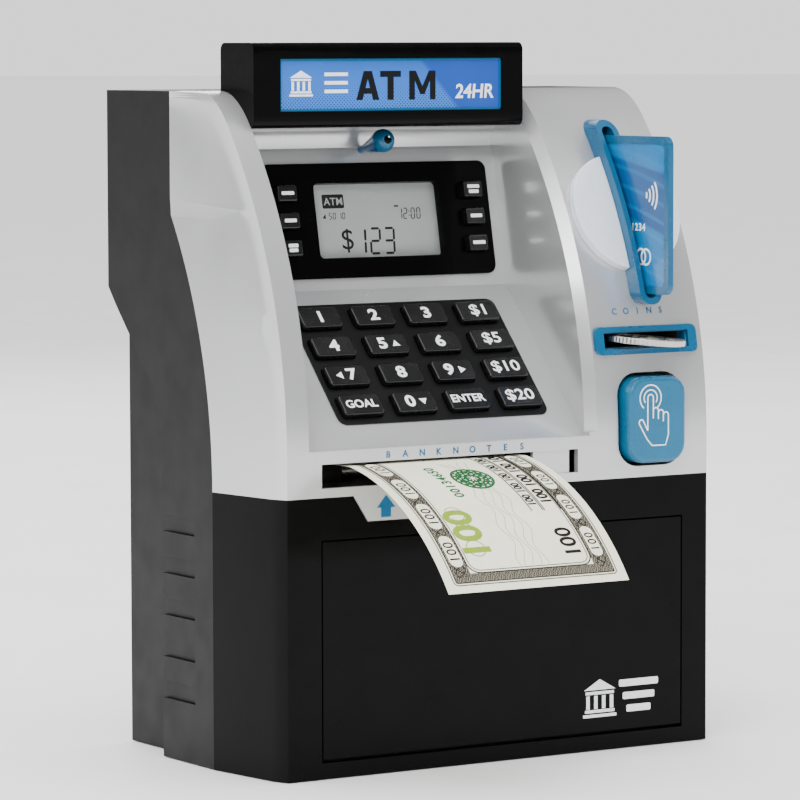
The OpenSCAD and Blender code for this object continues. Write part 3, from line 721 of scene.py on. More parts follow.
# ---- the body's shape
BODY_W, FRONT_W = 173.2, 165.0
BODY_H, BASE_H, WALL = 213.8, 88.1, 2.2
CHEEK_R, CHEEK_Z = 169.0, 100.0
SEAM_D, SEAM_R, SEAM_TOP_D = 35.0, 160.0, 60.8
SHOULDER_Z, SHOULDER_END_D, SHOULDER_REACH = 203.0, 53.0, 8.6
CORNER_W, CORNER_D = 2.3, 5.7
RECESS_X = (-72.2, 33.5)
LEDGE_Z, FOLD_D, FOLD_Z, SCREEN_TOP_Z = 102.6, 48.1, 149.4, 194.0
SCREEN_TILT, KEYPAD_TILT = 11.3, 43.5
SIGN_BACK_D = 53.2
COVE_D, COVE_H, COVE_LIFT = 4.4, 6.6, 1  # the hollow between the screen and the sign
LINER, EDGE_BEVEL = 2.0, 3.0
OPEN_D, OPEN_Z = -10, 240  # well in front of and above the body
LINE_STEPS, SHOULDER_STEPS = 44, 12
SEAM_TOP_Z = BASE_H + math.sqrt(SEAM_R**2 - (SEAM_R + SEAM_D - SEAM_TOP_D) ** 2)


def cheek_d(z):
    """Depth of the cheeks' front edge at a height."""
    return 0.0 if z < CHEEK_Z else CHEEK_R - math.sqrt(CHEEK_R**2 - (z - CHEEK_Z) ** 2)


def seam_at(z):
    """Depth of the seam between the fascia and the side shells at a height."""
    if z <= BASE_H:
        return SEAM_D
    if z >= SEAM_TOP_Z:
        return SEAM_TOP_D
    return SEAM_D + SEAM_R - math.sqrt(SEAM_R**2 - (z - BASE_H) ** 2)


def front_line():
    """The cheeks' front edge from the seam with the base up over the shoulder."""
    heights = [BASE_H + (SHOULDER_Z - BASE_H) * i / LINE_STEPS for i in range(LINE_STEPS + 1)]
    line = [(cheek_d(z), z) for z in heights]
    a = (cheek_d(SHOULDER_Z), SHOULDER_Z)
    b = (a[0] + SHOULDER_REACH, BODY_H)
    c = (SHOULDER_END_D, BODY_H)
    for i in range(1, SHOULDER_STEPS + 1):
        t = i / SHOULDER_STEPS
        line.append(tuple((1 - t) ** 2 * p + 2 * t * (1 - t) * q + t * t * r for p, q, r in zip(a, b, c)))
    return line


LINE = front_line()


def inward(i):
    """The unit vector into the body from point i of the front line."""
    if i == len(LINE) - 1:
        return (0.0, -1.0)
    a, b = LINE[max(0, i - 1)], LINE[i + 1]
    length = math.hypot(b[0] - a[0], b[1] - a[1])
    return ((b[1] - a[1]) / length, -(b[0] - a[0]) / length)


def ring(d, z, inset, back):
    """One loop across the fascia at a point of its front edge, set in, and run on back past the seam."""
    half = BODY_W / 2 - inset
    side = FRONT_W / 2 - inset
    face = FRONT_W / 2 - CORNER_W - inset * 0.7
    seam = seam_at(z)
    corner = min(d + CORNER_D, seam - 0.5)
    points = [(-face, d), (-side, corner), (-half, seam)]
    if back:
        points += [(-half, seam + back), (half, seam + back)]
    points += [(half, seam), (side, corner), (face, d)]
    return [at(x, y, z) for x, y in points]


def skin(rings):
    """A closed solid through loops of equal length."""
    n, last = len(rings[0]), len(rings) - 1
    verts = [p for r in rings for p in r]
    faces = [list(range(n)), [last * n + i for i in range(n - 1, -1, -1)]]
    for k in range(last):
        for i in range(n):
            j = (i + 1) % n
            faces.append([k * n + i, (k + 1) * n + i, (k + 1) * n + j])
            faces.append([k * n + i, (k + 1) * n + j, k * n + j])
    return fixed(mesh_of(verts, faces))


def recess_outline(grow=0.0):
    """The recess between the cheeks as [depth, height], from its ledge over the cove, grown if asked."""
    foot = FOLD_D - (FOLD_Z - LEDGE_Z) * math.tan(math.radians(KEYPAD_TILT))
    top = FOLD_D + (SCREEN_TOP_Z - FOLD_Z) * math.tan(math.radians(SCREEN_TILT))
    points = [(OPEN_D, LEDGE_Z), (foot, LEDGE_Z), (FOLD_D, FOLD_Z), (top, SCREEN_TOP_Z)]
    for x, y in circle(0, 0, 1, 0, 90, 10):
        points.append((SIGN_BACK_D + COVE_D * x, SCREEN_TOP_Z + COVE_LIFT + COVE_H * y))
    points += [(SIGN_BACK_D, OPEN_Z), (OPEN_D, OPEN_Z)]
    if not grow:
        return points
    out = []
    n = len(points)
    for i in range(n):
        (ax, az), (bx, bz), (cx, cz) = points[i - 1], points[i], points[(i + 1) % n]
        l1, l2 = math.hypot(bx - ax, bz - az) or 1, math.hypot(cx - bx, cz - bz) or 1
        n1, n2 = ((bz - az) / l1, -(bx - ax) / l1), ((cz - bz) / l2, -(cx - bx) / l2)
        k = grow / max(0.35, 1 + n1[0] * n2[0] + n1[1] * n2[1])
        out.append((bx + (n1[0] + n2[0]) * k, bz + (n1[1] + n2[1]) * k))
    return out


class Slope:
    """The screen's or the keypad's sloped face: x across, z up the slope, y into the body."""

    def __init__(self, tilt, x, middle):
        self.t = math.radians(tilt)
        self.x, self.middle = x, middle

    def point(self, x, y, z):
        c, s = math.cos(self.t), math.sin(self.t)
        return at(x, FOLD_D + y * c + z * s, FOLD_Z - y * s + z * c)

    def sheet(self, y, x=0.0, z=0.0):
        origin = self.point(self.x + x, y, self.middle + z)
        return Sheet(origin, up=self.point(0, y, 1) - self.point(0, y, 0))

    def pocket(self, w, h, r, front, back):
        """A rounded slab about the middle of the slope."""
        return slab(round_rect(self.x, self.middle, w, h, r), front, back, self.point)


SCREEN = Slope(SCREEN_TILT, -13.6, 22.5)
KEYPAD = Slope(KEYPAD_TILT, -15.0, -30.8)
KEY_PITCH_X, KEY_PITCH_Z, KEY_FACE = 20.07, 12, -2.5
BUTTON_X, BUTTON_PITCH, BUTTON_FACE = 35.6, 8.9, -4.0
CARD_X, CARD_SLOT_Z, CARD_SLOT_H = 58.2, 173.75, 59.5
COIN_X, COIN_Z = 57.2, 132.6
TOUCH_X, TOUCH_Z, TOUCH_FACE_D = 57.8, 106.9, -4.2
TAB = [(-56.7, BASE_H + 1), (-50.8, 79.9), (12.2, 79.9), (18.1, BASE_H + 1)]
# The banknote's mouth and the slot beside it
MOUTH_X, END_SLOT_X, MOUTH_Z = (-67.6, 12), (26, 29), (91, 98.5)


def make_fascia():
    outer = skin([ring(d, z, 0, 0) for d, z in LINE])
    inner_rings, edge = [], []
    for i, (d, z) in enumerate(LINE):
        nx, nz = inward(i)
        inner_rings.append(ring(d + WALL * nx, (z if i else z - 2) + WALL * nz, WALL, 12))
        if z > LEDGE_Z + 0.5:
            inside = (d + EDGE_BEVEL * nx, z + EDGE_BEVEL * nz)
            outside = (d - 2 * nx, z - 2 * nz)
            x0, x1 = RECESS_X[1] - 1, RECESS_X[1] + EDGE_BEVEL
            edge.append([
                at(x0, *outside), at(x0, inside[0] + 0.3, inside[1]), at(x0 + 1, *inside),
                at(x1, d, z), at(x1, *outside),
            ])
    lined_x = RECESS_X[0] - LINER, RECESS_X[1] + LINER
    hollow = boolean(skin(inner_rings), [prism(recess_outline(LINER), *lined_x)])
    body = boolean(outer, [hollow])
    behind_seam = block((lined_x[0], 44, 136), (lined_x[1], 56, 172))
    fold = boolean(prism(recess_outline(LINER), *lined_x), [behind_seam], "INTERSECT")
    body = boolean(body, [slab(TAB, 0, WALL), fold], "UNION")
    body = boolean(body, [
        prism(recess_outline(), *RECESS_X),
        skin(edge),
        SCREEN.pocket(80, 32, 2, -6, 8),
        SCREEN.pocket(86.2, 37.6, 3, -6, 1),
        KEYPAD.pocket(77.4, 47, 2, -6, 8),
        KEYPAD.pocket(79.2, 49, 3, -6, 1),
        block((MOUTH_X[0], -1, MOUTH_Z[0]), (MOUTH_X[1], 4, MOUTH_Z[1])),
        block((END_SLOT_X[0], -1, MOUTH_Z[0]), (END_SLOT_X[1], 4, MOUTH_Z[1])),
        block((MOUTH_X[1] - 1, -1, MOUTH_Z[0]), (END_SLOT_X[0] + 1, 0.8, MOUTH_Z[1])),
        slab(round_rect(CARD_X, CARD_SLOT_Z, 4.4, CARD_SLOT_H - 4.4, 2), -1, 45),
        slab([(40.5, 129.9), (73.9, 129.9), (73.9, 135.3), (40.5, 135.3)], -1, 12),
        slab(round_rect(TOUCH_X, TOUCH_Z, 26, 30.4, 7.5), -1, 12),
    ])
    tidy_mesh(body, 0.3)
    # The planes pass through the middles of the mouth, slots, screen and keypad
    score(body, across((-27.8, SCREEN.x, CARD_X, 27.5, 19)) + level((94.7, TOUCH_Z, COIN_Z, CARD_SLOT_Z)))
    score(body, up_slope(SCREEN, (SCREEN.middle,)) + up_slope(KEYPAD, (KEYPAD.middle,)))
    weighted(stand_in("fascia", rounded(body, 0.45, 3, 32), SILVER))


def both_sides(middle, steps):
    return [middle + side * step for side in (-1, 1) for step in steps]


def make_shells():
    refine("base_shell", 0.5)
    refine("middle_shell", 0.5)
    refine("rear_cover", 0.7)
    # Planes run beside the rounded corners of each opening
    rims = across((-63.3, -62.3, 21.6, 22.6)) + level((206.3, 207.3, 223.9, 224.9))
    refine("sign_housing", 0.5, planes=rims)
    refine("sign_lens", 0.15)
    x_cuts = both_sides(SCREEN.x, (24, 27, 31.7, 39.5))
    z_cuts = both_sides(SCREEN.middle, (2.95, 5.95, 11.85, 12.2, 14.5))
    refine("screen_bezel", 0.35, planes=across(x_cuts) + up_slope(SCREEN, z_cuts))
    keys = [(side, i) for side in (-1, 1) for i in (-1.5, -0.5, 0.5, 1.5)]
    x_cuts = [KEYPAD.x + i * KEY_PITCH_X + side * 7.8 for side, i in keys]
    z_cuts = [KEYPAD.middle + i * KEY_PITCH_Z + side * 4.3 for side, i in keys]
    refine("keypad_plate", 0.3, planes=across(x_cuts) + up_slope(KEYPAD, z_cuts))
    refine("cash_door", 0.35, planes=across((1.25,)) + level((36.5,)))
    refine("touch_cup", 0.4)
    refine("coin_slot_frame", 0.5)
    throat = boolean(
        slab(round_rect(COIN_X, COIN_Z, 33.3, 5.3, 0.5), 3.4, 8.5),
        [slab(round_rect(COIN_X, COIN_Z, 32.7, 4.7, 0.3), 3, 9)],
    )
    place("coin_slot_throat", shaded(throat), TEAL, slot="teal")
    refine("card_slot_frame", 0.7, segments=4)
    refine("card_disc", 0.5)


# ---- sign
SIGN_X, SIGN_FACE_D, SIGN_Z = -20.35, 33.7, 215.6
SIGN_LETTERS = {
    "a": [
        [(-4.3, -4.6), (-1.5, 4.6), (1.5, 4.6), (4.3, -4.6), (2.0, -4.6), (0, 2.2), (-2.0, -4.6)],
        [(-2.2, -2.6), (2.2, -2.6), (1.7, -0.8), (-1.7, -0.8)],
    ],
    "t": [[
        (-1.15, -4.6), (-1.15, 2.7), (-3.9, 2.7), (-3.9, 4.6),
        (3.9, 4.6), (3.9, 2.7), (1.15, 2.7), (1.15, -4.6),
    ]],
    "m": [[
        (-5.0, -4.6), (-5.0, 4.6), (-2.5, 4.6), (0, -0.4), (2.5, 4.6), (5.0, 4.6), (5.0, -4.6),
        (2.9, -4.6), (2.9, 1.6), (0.8, -2.9), (-0.8, -2.9), (-2.9, 1.6), (-2.9, -4.6),
    ]],
}


def make_sign():
    face = Sheet(at(SIGN_X, SIGN_FACE_D, SIGN_Z))
    for name, x in (("a", -29.3), ("t", -20.7), ("m", -8.6)):
        parts = [flat_shape([(px + x - SIGN_X, py - 0.3) for px, py in part]) for part in SIGN_LETTERS[name]]
        print_on(face, "sign_letter_" + name, parts, BLACK_INK)
    hours = moved(lettering("24HR", 4.6 / CAP_SHARE, bold=0.13, shear=0.1), 11.4 - SIGN_X, -2.3)
    print_on(face, "sign_hours", [hours], WHITE_INK)
    print_on(face, "sign_icon", bank_icon(-54.2 - SIGN_X, 0.5, 8.2), WHITE_INK)
    lines = [flat_box(-45.5 - SIGN_X, y, -36.8 - SIGN_X, y + 1.1) for y in (-2.6, 0.1, 2.8)]
    print_on(face, "sign_bars", lines, WHITE_INK)
    rim = stroke(round_rect(0, 0, 83.2, 15.9, 0.6), 0.7, True, 0.3)
    print_on(face, "sign_rim", [rim], BLUE_INK)


def bank_icon(cx, cy, w):
    """A plain building w wide and high: a pediment, a beam, four columns and two steps."""
    parts = [flat_shape([(cx - w / 2, cy + w * 0.22), (cx + w / 2, cy + w * 0.22), (cx, cy + w * 0.5)])]
    rows = [(0, 0.45, 0.1, 0.18)] + [(0.25 * (i - 1.5), 0.055, -0.28, 0.07) for i in range(4)]
    for middle, half, low, high in rows + [(0, 0.47, -0.38, -0.3), (0, 0.53, -0.5, -0.42)]:
        x = cx + w * middle
        parts.append(flat_box(x - w * half, cy + w * low, x + w * half, cy + w * high))
    return parts


# ---- camera bulb
BULB_TAIL, BULB_LEAN, BULB_REACH, BULB_R, NECK_R = (-17.2, 56, 194.3), 14.4, 12.5, 3.8, 1.3
EYE_WAY, EYE_R = (-0.12, -1, 0.12), 1.9  # the eye looks along the front, a little to the machine's left


def turned_to(origin, way):
    """The matrix that stands a lathe's axis along a direction at a point."""
    turn = Vector(way).to_track_quat("Z", "Y").to_matrix().to_4x4()
    return Matrix.Translation(origin) @ turn @ Matrix.Scale(MM, 4)


def make_camera_dome():
    lean = math.radians(BULB_LEAN)
    axis = Vector((0, -math.cos(lean), math.sin(lean)))
    tail = at(*BULB_TAIL)
    profile = [(0.0, -2.5), (NECK_R, -2.5), (NECK_R, 0)]
    for i in range(1, 8):
        t = i / 8
        profile.append((NECK_R + (BULB_R * 0.93 - NECK_R) * t**1.2, (BULB_REACH - 1.4) * t))
    for x, y in circle(0, BULB_REACH, BULB_R, -22, 112, 12):
        profile.append((max(0.0, x), y))
    bulb = lathe(profile)
    bulb.transform(turned_to(tail, axis))
    stand_in("camera_dome", bulb, TEAL, "camera_bulb")
    eye = turned_to(tail + axis * BULB_REACH * MM, EYE_WAY)
    s = math.sqrt(BULB_R**2 - EYE_R**2)  # height of the eye's seat on the ball
    parts = (
        ("camera_rim", LIGHT_TEAL, "teal",
         [(1.35, s - 0.2), (EYE_R, s - 0.2), (1.85, s + 0.25), (1.45, s + 0.5), (1.3, s + 0.3)]),
        ("camera_lens", GLOSS_BLACK, "gloss_black",
         [(0.0, s - 0.2), (1.4, s - 0.2), (1.4, s + 0.3), (1.1, s + 0.55), (0.6, s + 0.7), (0.0, s + 0.74)]),
    )
    for name, look, slot, profile in parts:
        part = lathe(profile)
        part.transform(eye)
        place(name, part, look, slot=slot)
    # Painted highlight: a small white solid set off-centre on the lens stands for the lens's glint
    glint = lathe([(0.0, 0), (0.42, 0), (0.35, 0.12), (0.0, 0.16)], 16)
    glint.transform(eye @ Matrix.Translation((0.35, 0.75, s + 0.52)))
    place("camera_glint", glint, WHITE_INK)


# ---- screen
DISPLAY_FACE = 3.2  # local depth of the display's face behind the slope
SEGMENTS = {"0": "abcdef", "1": "bc", "2": "abged", "3": "abgcd", "5": "afgcd"}


def seven(digit, cx, cy, h, w, t):
    """A seven-segment digit, slanted a little: half height h, half width w, thickness t."""
    spots = {
        "a": ((-w, h), (w, h)), "b": ((w, h), (w, 0)), "c": ((w, 0), (w, -h)), "d": ((-w, -h), (w, -h)),
        "e": ((-w, 0), (-w, -h)), "f": ((-w, h), (-w, 0)), "g": ((-w, 0), (w, 0)),
    }
    gap, tip = t * 0.62, t * 0.45
    parts = []
    for key in SEGMENTS[digit]:
        (x0, y0), (x1, y1) = spots[key]
        length = math.hypot(x1 - x0, y1 - y0)
        ux, uy = (x1 - x0) / length, (y1 - y0) / length
        nx, ny = -uy * t / 2, ux * t / 2
        ax, ay, bx, by = x0 + ux * gap, y0 + uy * gap, x1 - ux * gap, y1 - uy * gap
        outline = [
            (ax - ux * tip, ay - uy * tip), (ax - nx, ay - ny), (bx - nx, by - ny),
            (bx + ux * tip, by + uy * tip), (bx + nx, by + ny), (ax + nx, ay + ny),
        ]
        parts.append(flat_shape([(cx + x + y * 0.06, cy + y) for x, y in outline]))
    return parts


def digits(pairs, *size):
    return [part for digit, x in pairs for part in seven(digit, x, *size)]


def make_screen():
    refine("lcd_module", 0.2)
    stand_in("lcd_window", shaded(SCREEN.pocket(53.6, 28.6, 1.5, 2.1, 2.6), 30), CLEAR, "screen_glass")
    face = SCREEN.sheet(DISPLAY_FACE)
    parts = digits((("1", -5.6), ("2", 0.0), ("3", 5.4)), -6.4, 4.1, 1.75, 0.8)
    parts.append(moved(lettering("$", 9.6), -10.6, -6.1))
    parts += digits((("1", 10.6), ("2", 12.6), ("0", 15.5), ("0", 17.7)), 2.4, 1.7, 0.62, 0.34)
    parts += [bar(14.05, 3.1, 0.4, 0.4), bar(14.05, 1.7, 0.4, 0.4), bar(9.3, 4.9, 1.8, 0.5)]
    parts.append(flat_shape([(-19.2, 1.5), (-18, 2.9), (-18, 1.2)]))
    parts += digits((("5", -16.2), ("0", -14.7), ("1", -12.6), ("0", -11.2)), 2.1, 1.0, 0.42, 0.24)
    print_on(face, "lcd_digits", parts, SEGMENT)
    print_on(face, "lcd_box", [bar(-14.7, 6.9, 8.2, 4.6, 0.5)], SEGMENT)
    letters = moved(lettering("ATM", 2.5 / CAP_SHARE, bold=0.04, spacing=1.05), -14.7, 6.9)
    print_on(SCREEN.sheet(DISPLAY_FACE - PRINT_T - PRINT_GAP), "lcd_box_letters", [letters], DISPLAY)


def make_key(node, slope, x, z, size, flange, depths):
    """A rounded cap on a thin flange that keeps it behind its plate. Returns the sheet on its face."""
    w, h, r = size
    front, middle, back = depths
    cx, cz = slope.x + x, slope.middle + z
    cap = rounded(slab(round_rect(cx, cz, w, h, r), front, middle + 0.1, slope.point), 0.6, 4, 40)
    foot = shaded(slab(round_rect(cx, cz, w + 2 * flange, h + 2 * flange, r), middle, back, slope.point))
    weighted(stand_in(node, shaded(joined([cap, foot])), KEY_BLACK))
    return slope.sheet(front, x, z)


def make_buttons():
    marks = {  # bars on each button: height of its middle, width
        "l1": [(0, 4.6)], "l2": [(0, 4.4)], "l3": [(0.75, 3.6), (-0.75, 3.2)],
        "r1": [(0.85, 4.6), (-0.85, 3.8)], "r2": [(0, 4.4)], "r3": [(0, 4.8)],
    }
    for key, rows in marks.items():
        node = "screen_button_" + key
        x, z = BUTTON_X * (-1 if key[0] == "l" else 1), (2 - int(key[1])) * BUTTON_PITCH
        face = make_key(node, SCREEN, x, z, (7.2, 5.3, 0.8), 0.6, (BUTTON_FACE, 5.3, 6.2))
        print_on(face, node + "_mark", [bar(0, y, w, 1.15, 0.25) for y, w in rows], WHITE_INK, node)


# ---- keypad
KEYS = (
    ("key_1", "1", ""), ("key_2", "2", ""), ("key_3", "3", ""), ("key_1_dollar", "$1", ""),
    ("key_4", "4", ""), ("key_5", "5", "up"), ("key_6", "6", ""), ("key_5_dollar", "$5", ""),
    ("key_7", "7", "left"), ("key_8", "8", ""), ("key_9", "9", "right"), ("key_10_dollar", "$10", ""),
    ("key_goal", "GOAL", ""), ("key_0", "0", "down"), ("key_enter", "ENTER", ""),
    ("key_20_dollar", "$20", ""),
)
ARROWS = {"up": (3.0, 0), "left": (-3.1, 90), "down": (3.0, 180), "right": (3.0, 270)}  # place, turn


def make_keys():
    for i, (node, text, arrow) in enumerate(KEYS):
        x, z = (i % 4 - 1.5) * KEY_PITCH_X, (1.5 - i // 4) * KEY_PITCH_Z
        face = make_key(node, KEYPAD, x, z, (15, 8, 1.4), 0.8, (KEY_FACE, 2.9, 3.9))
        word = len(text) > 3
        height, wide = (3.1, 1.0) if word else (4.4, 1.18)
        bold = 0.09 if word or "$" in text else 0.2
        shift = {"": 0.0, "left": 1.6}.get(arrow, -1.9)
        parts = [moved(lettering(text, height / CAP_SHARE, bold=bold, wide=wide), shift, 0)]
        if arrow:
            place_x, turn = ARROWS[arrow]
            parts.append(moved(flat_shape([(-1.45, -1.05), (1.45, -1.05), (0, 1.35)]), place_x, -0.3, turn))
        print_on(face, node + "_label", parts, WHITE_INK, node)


# ---- banknote
NOTE_X, NOTE_W, NOTE_Z, NOTE_IN = -24.6, 66.4, 97.5, 88.0
BEND_R, DROOP_START, DROOP_END = 85.0, math.radians(8), math.radians(54)
NOTE_OUT = BEND_R * (DROOP_END - DROOP_START)
NOTE_LENGTH = NOTE_OUT + NOTE_IN
NOTE_SKIN = 0.18
MARGIN, BAND_W, END_BAND_W = 3.4, 6.4, 3.2


def note_point(u, v, lift):
    """u across from the middle, v along from the free end, lift above the middle of the paper."""
    x = NOTE_X + u
    if v > NOTE_OUT:
        return at(x, v - NOTE_OUT, NOTE_Z + lift)
    a = DROOP_END - v / BEND_R
    r = BEND_R + lift
    return at(x, BEND_R * math.sin(DROOP_START) - r * math.sin(a),
              NOTE_Z - BEND_R * math.cos(DROOP_START) + r * math.cos(a))


def wrap(mesh, lift):
    """Lays a flat mesh with u, v in mm on the note."""
    for vert in mesh.vertices:
        vert.co = note_point(vert.co.x, vert.co.y, lift + vert.co.z)
    return shaded(mesh, 40)


def grid(u0, u1, v0, v1, nu, nv, thick):
    """A thin flat slab with a fine grid, u, v in mm, with its own u, v as UV."""
    bm = bmesh.new()
    uv = bm.loops.layers.uv.new("UVMap")
    top, low = [], []
    for j in range(nv + 1):
        for i in range(nu + 1):
            u, v = u0 + (u1 - u0) * i / nu, v0 + (v1 - v0) * j / nv
            top.append(bm.verts.new((u, v, thick / 2)))
            low.append(bm.verts.new((u, v, -thick / 2)))
    w = nu + 1
    for j in range(nv):
        for i in range(nu):
            a, b, c, d = j * w + i, j * w + i + 1, (j + 1) * w + i + 1, (j + 1) * w + i
            bm.faces.new((top[a], top[b], top[c], top[d]))
            bm.faces.new((low[d], low[c], low[b], low[a]))
    edge = [(i, i + 1) for i in range(nu)]
    edge += [(nu + j * w, nu + (j + 1) * w) for j in range(nv)]
    edge += [(nv * w + i + 1, nv * w + i) for i in range(nu)]
    edge += [((j + 1) * w, j * w) for j in range(nv)]
    for a, b in edge:
        bm.faces.new((low[a], low[b], top[b], top[a]))
    for face in bm.faces:
        for loop in face.loops:
            loop[uv].uv = (loop.vert.co.x, loop.vert.co.y)
    mesh = bpy.data.meshes.new("grid")
    bm.to_mesh(mesh)
    bm.free()
    return mesh


def note_print(name, meshes, look, lift=0.0):
    """Prints sit on the paper's upper face; each layer is a little higher."""
    mesh = joined(meshes)
    with editing(mesh) as bm:
        bmesh.ops.triangulate(bm, faces=bm.faces)
        for v in range(0, 3 * int(NOTE_LENGTH / 3), 3):
            cut_along(bm, (0, v, 0), (0, 1, 0), 1e-5)
    place(name, wrap(mesh, NOTE_SKIN / 2 + PRINT_T / 2 + lift), look, "note")


def rosette(r, petals, turns, width, wobble):
    """A guilloche rose drawn as one closed line."""
    points = []
    steps = petals * 24
    for i in range(steps):
        t = math.tau * turns * i / steps
        k = r * (1 - wobble + wobble * math.cos(t * petals / turns))
        points.append((k * math.cos(t), k * math.sin(t)))
    return stroke(points, width, True)


def wavy(u, v0, v1, swing, pitch, phase, width):
    steps = int((v1 - v0) / 0.8)
    along = [v0 + (v1 - v0) * i / steps for i in range(steps + 1)]
    return stroke([(u + swing * math.sin(math.tau * v / pitch + phase), v) for v in along], width)


def upright(text, size, u, v, **style):
    """Characters that read along the note."""
    return moved(lettering(text, size, **style), u, v, 90)


def make_note():
    sheet = grid(-NOTE_W / 2, NOTE_W / 2, 0, NOTE_LENGTH, 12, 60, NOTE_SKIN)
    stand_in("banknote", wrap(sheet, 0), PAPER, "note_paper")
    v0, v1 = MARGIN, NOTE_LENGTH - MARGIN
    half = NOTE_W / 2 - 4.0
    field = half - BAND_W
    # Engraved bands down both long edges and across both ends
    bands = [
        grid(-half, -field, v0, v1, 2, 60, PRINT_T),
        grid(field, half, v0, v1, 2, 60, PRINT_T),
        grid(-field, field, v0, v0 + END_BAND_W, 12, 2, PRINT_T),
        grid(-field, field, v1 - END_BAND_W, v1, 12, 2, PRINT_T),
    ]
    for i, mesh in enumerate(bands):
        place("note_band_%d" % (i + 1), wrap(mesh, NOTE_SKIN / 2 + PRINT_T / 2), BAND, "note")
    frames = (  # half width, inset of the ends, corner radius, corner steps, line width
        (half, 0, 0.6, 3, 0.28), (half + 0.8, -0.8, 1.4, 3, 0.28),
        (field, END_BAND_W, 4, 6, 0.4), (field - 0.9, 4.1, 3.4, 6, 0.22),
    )
    lines = []
    for u, inset, r, steps, width in frames:
        lines.append(stroke(round_rect(0, (v0 + v1) / 2, 2 * u, v1 - v0 - 2 * inset, r, steps), width, True))
    mid_band = half - BAND_W / 2
    for side in (-1, 1):
        for k in range(3):
            lines.append(wavy(side * mid_band, v0 + 2, v1 - 2, 1.9, 9.0, k * math.tau / 3, 0.3))
    note_print("note_lines", lines, BROWN_INK, 0.05)
    # Numbers on pale pads along the bands
    numbers, pads = [], []
    for k in range(9):
        v = v0 + 12 + k * 15.5
        numbers.append(upright("100", 5.0, -mid_band, v, bold=0.05, spacing=1.12))
        numbers.append(upright("100", 4.4, mid_band, v, bold=0.05, spacing=1.2))
        pads.append(flat_shape(round_rect(-mid_band, v, 4.6, 12.4, 2.2, 5)))
        pads.append(flat_shape(round_rect(mid_band, v, 4.2, 12.0, 2.0, 5)))
    note_print("note_pads", pads, PAPER, 0.1)
    note_print("note_band_numbers", numbers, BROWN_INK, 0.15)
    # Corner number, engraving, the green seal, the serial number and the large number
    note_print("note_corner_number", [upright("100", 8.0, 17.4, 16.5, bold=0.16)], BROWN_INK, 0.05)
    rows = [
        upright("100 100 100 100", 5.4, 19.4, 52, bold=0.16),
        upright("100 100 100 100 100", 4.0, 13.6, 50, bold=0.12),
    ]
    rows += [stroke([(u, 30), (u, 74)], 0.35) for u in (22.4, 16.4, 15.7, 11.6)]
    note_print("note_engraving", rows, BROWN_INK, 0.05)
    seal = [rosette(6.6, 17, 3, 0.55, 0.22), rosette(4.6, 11, 2, 0.5, 0.3)]
    seal += [stroke(circle(0, 0, r, steps=48), 0.6, True) for r in (6.9, 5.2, 2.6)]
    seal += [stroke(ends, 0.5) for ends in zip(circle(0, 0, 0.9, steps=8), circle(0, 0, 2.4, steps=8))]
    note_print("note_seal", [moved(part, 1.5, 50.5) for part in seal], GREEN_INK, 0.05)
    serial = upright("00134650", 4.8, -9.4, 50, bold=0.09, spacing=1.12)
    note_print("note_serial", [serial], GREEN_INK, 0.05)
    large = [upright("100", 13.5, -16.5, 23.5, bold=0.35, wide=1.05)]
    large += [stroke(circle(-16.5, 23.5 + k * 7.6, 3.2, steps=20), 0.25, True) for k in (-1, 0, 1)]
    note_print("note_large_number", large, LIME_INK, 0.05)
    faint = [wavy(-3 + 2.2 * k, 8, 64, 1.1, 14, k, 0.14) for k in range(5)]
    note_print("note_tint_lines", faint, LIME_INK)


# ---- coin
COIN_R, COIN_HALF_T, REEDS = 13.25, 1.0, 120


def make_coin():
    half = [(0, 0.72), (11.6, 0.72), (11.9, COIN_HALF_T), (12.9, COIN_HALF_T), (COIN_R, 0.8)]
    coin = lathe([(r, -h) for r, h in half] + half[::-1], REEDS)
    for vert in coin.vertices:
        r = math.hypot(vert.co.x, vert.co.y)
        if r > COIN_R - 0.05:
            i = round(math.atan2(vert.co.y, vert.co.x) / math.tau * REEDS)
            k = (COIN_R - 0.22 * (i % 2)) / r
            vert.co.x *= k
            vert.co.y *= k
    relief = [lettering("25", 9.5, bold=0.2, thick=0.3)]
    relief.append(stroke(circle(0, 0, 10.4, steps=60), 0.35, True, 0.3))
    relief += [flat_shape(circle(x, y, 0.42, steps=8), 0.3) for x, y in circle(0, 0, 9.0)]
    parts = [coin]
    for side in (1, -1):
        for part in relief:
            copy = part.copy()
            turn = Matrix.Rotation(0 if side > 0 else math.pi, 4, "X")
            copy.transform(Matrix.Translation((0, 0, 0.76 * side)) @ turn)
            parts.append(copy)
    out = joined(parts)
    tilt = Euler((math.radians(2.5), math.radians(4), 0)).to_matrix().to_4x4()
    out.transform(Matrix.Translation(at(COIN_X, 2.8, COIN_Z - 0.2)) @ tilt @ Matrix.Scale(MM, 4))
    stand_in("coin", shaded(out, 30), COIN_METAL, "play_coin_shape")


# ---- bank card
CARD_LENGTH, CARD_H, CARD_T, CARD_OUT, CARD_Z = 80.8, 51.0, 2.0, 10.2, 173.0


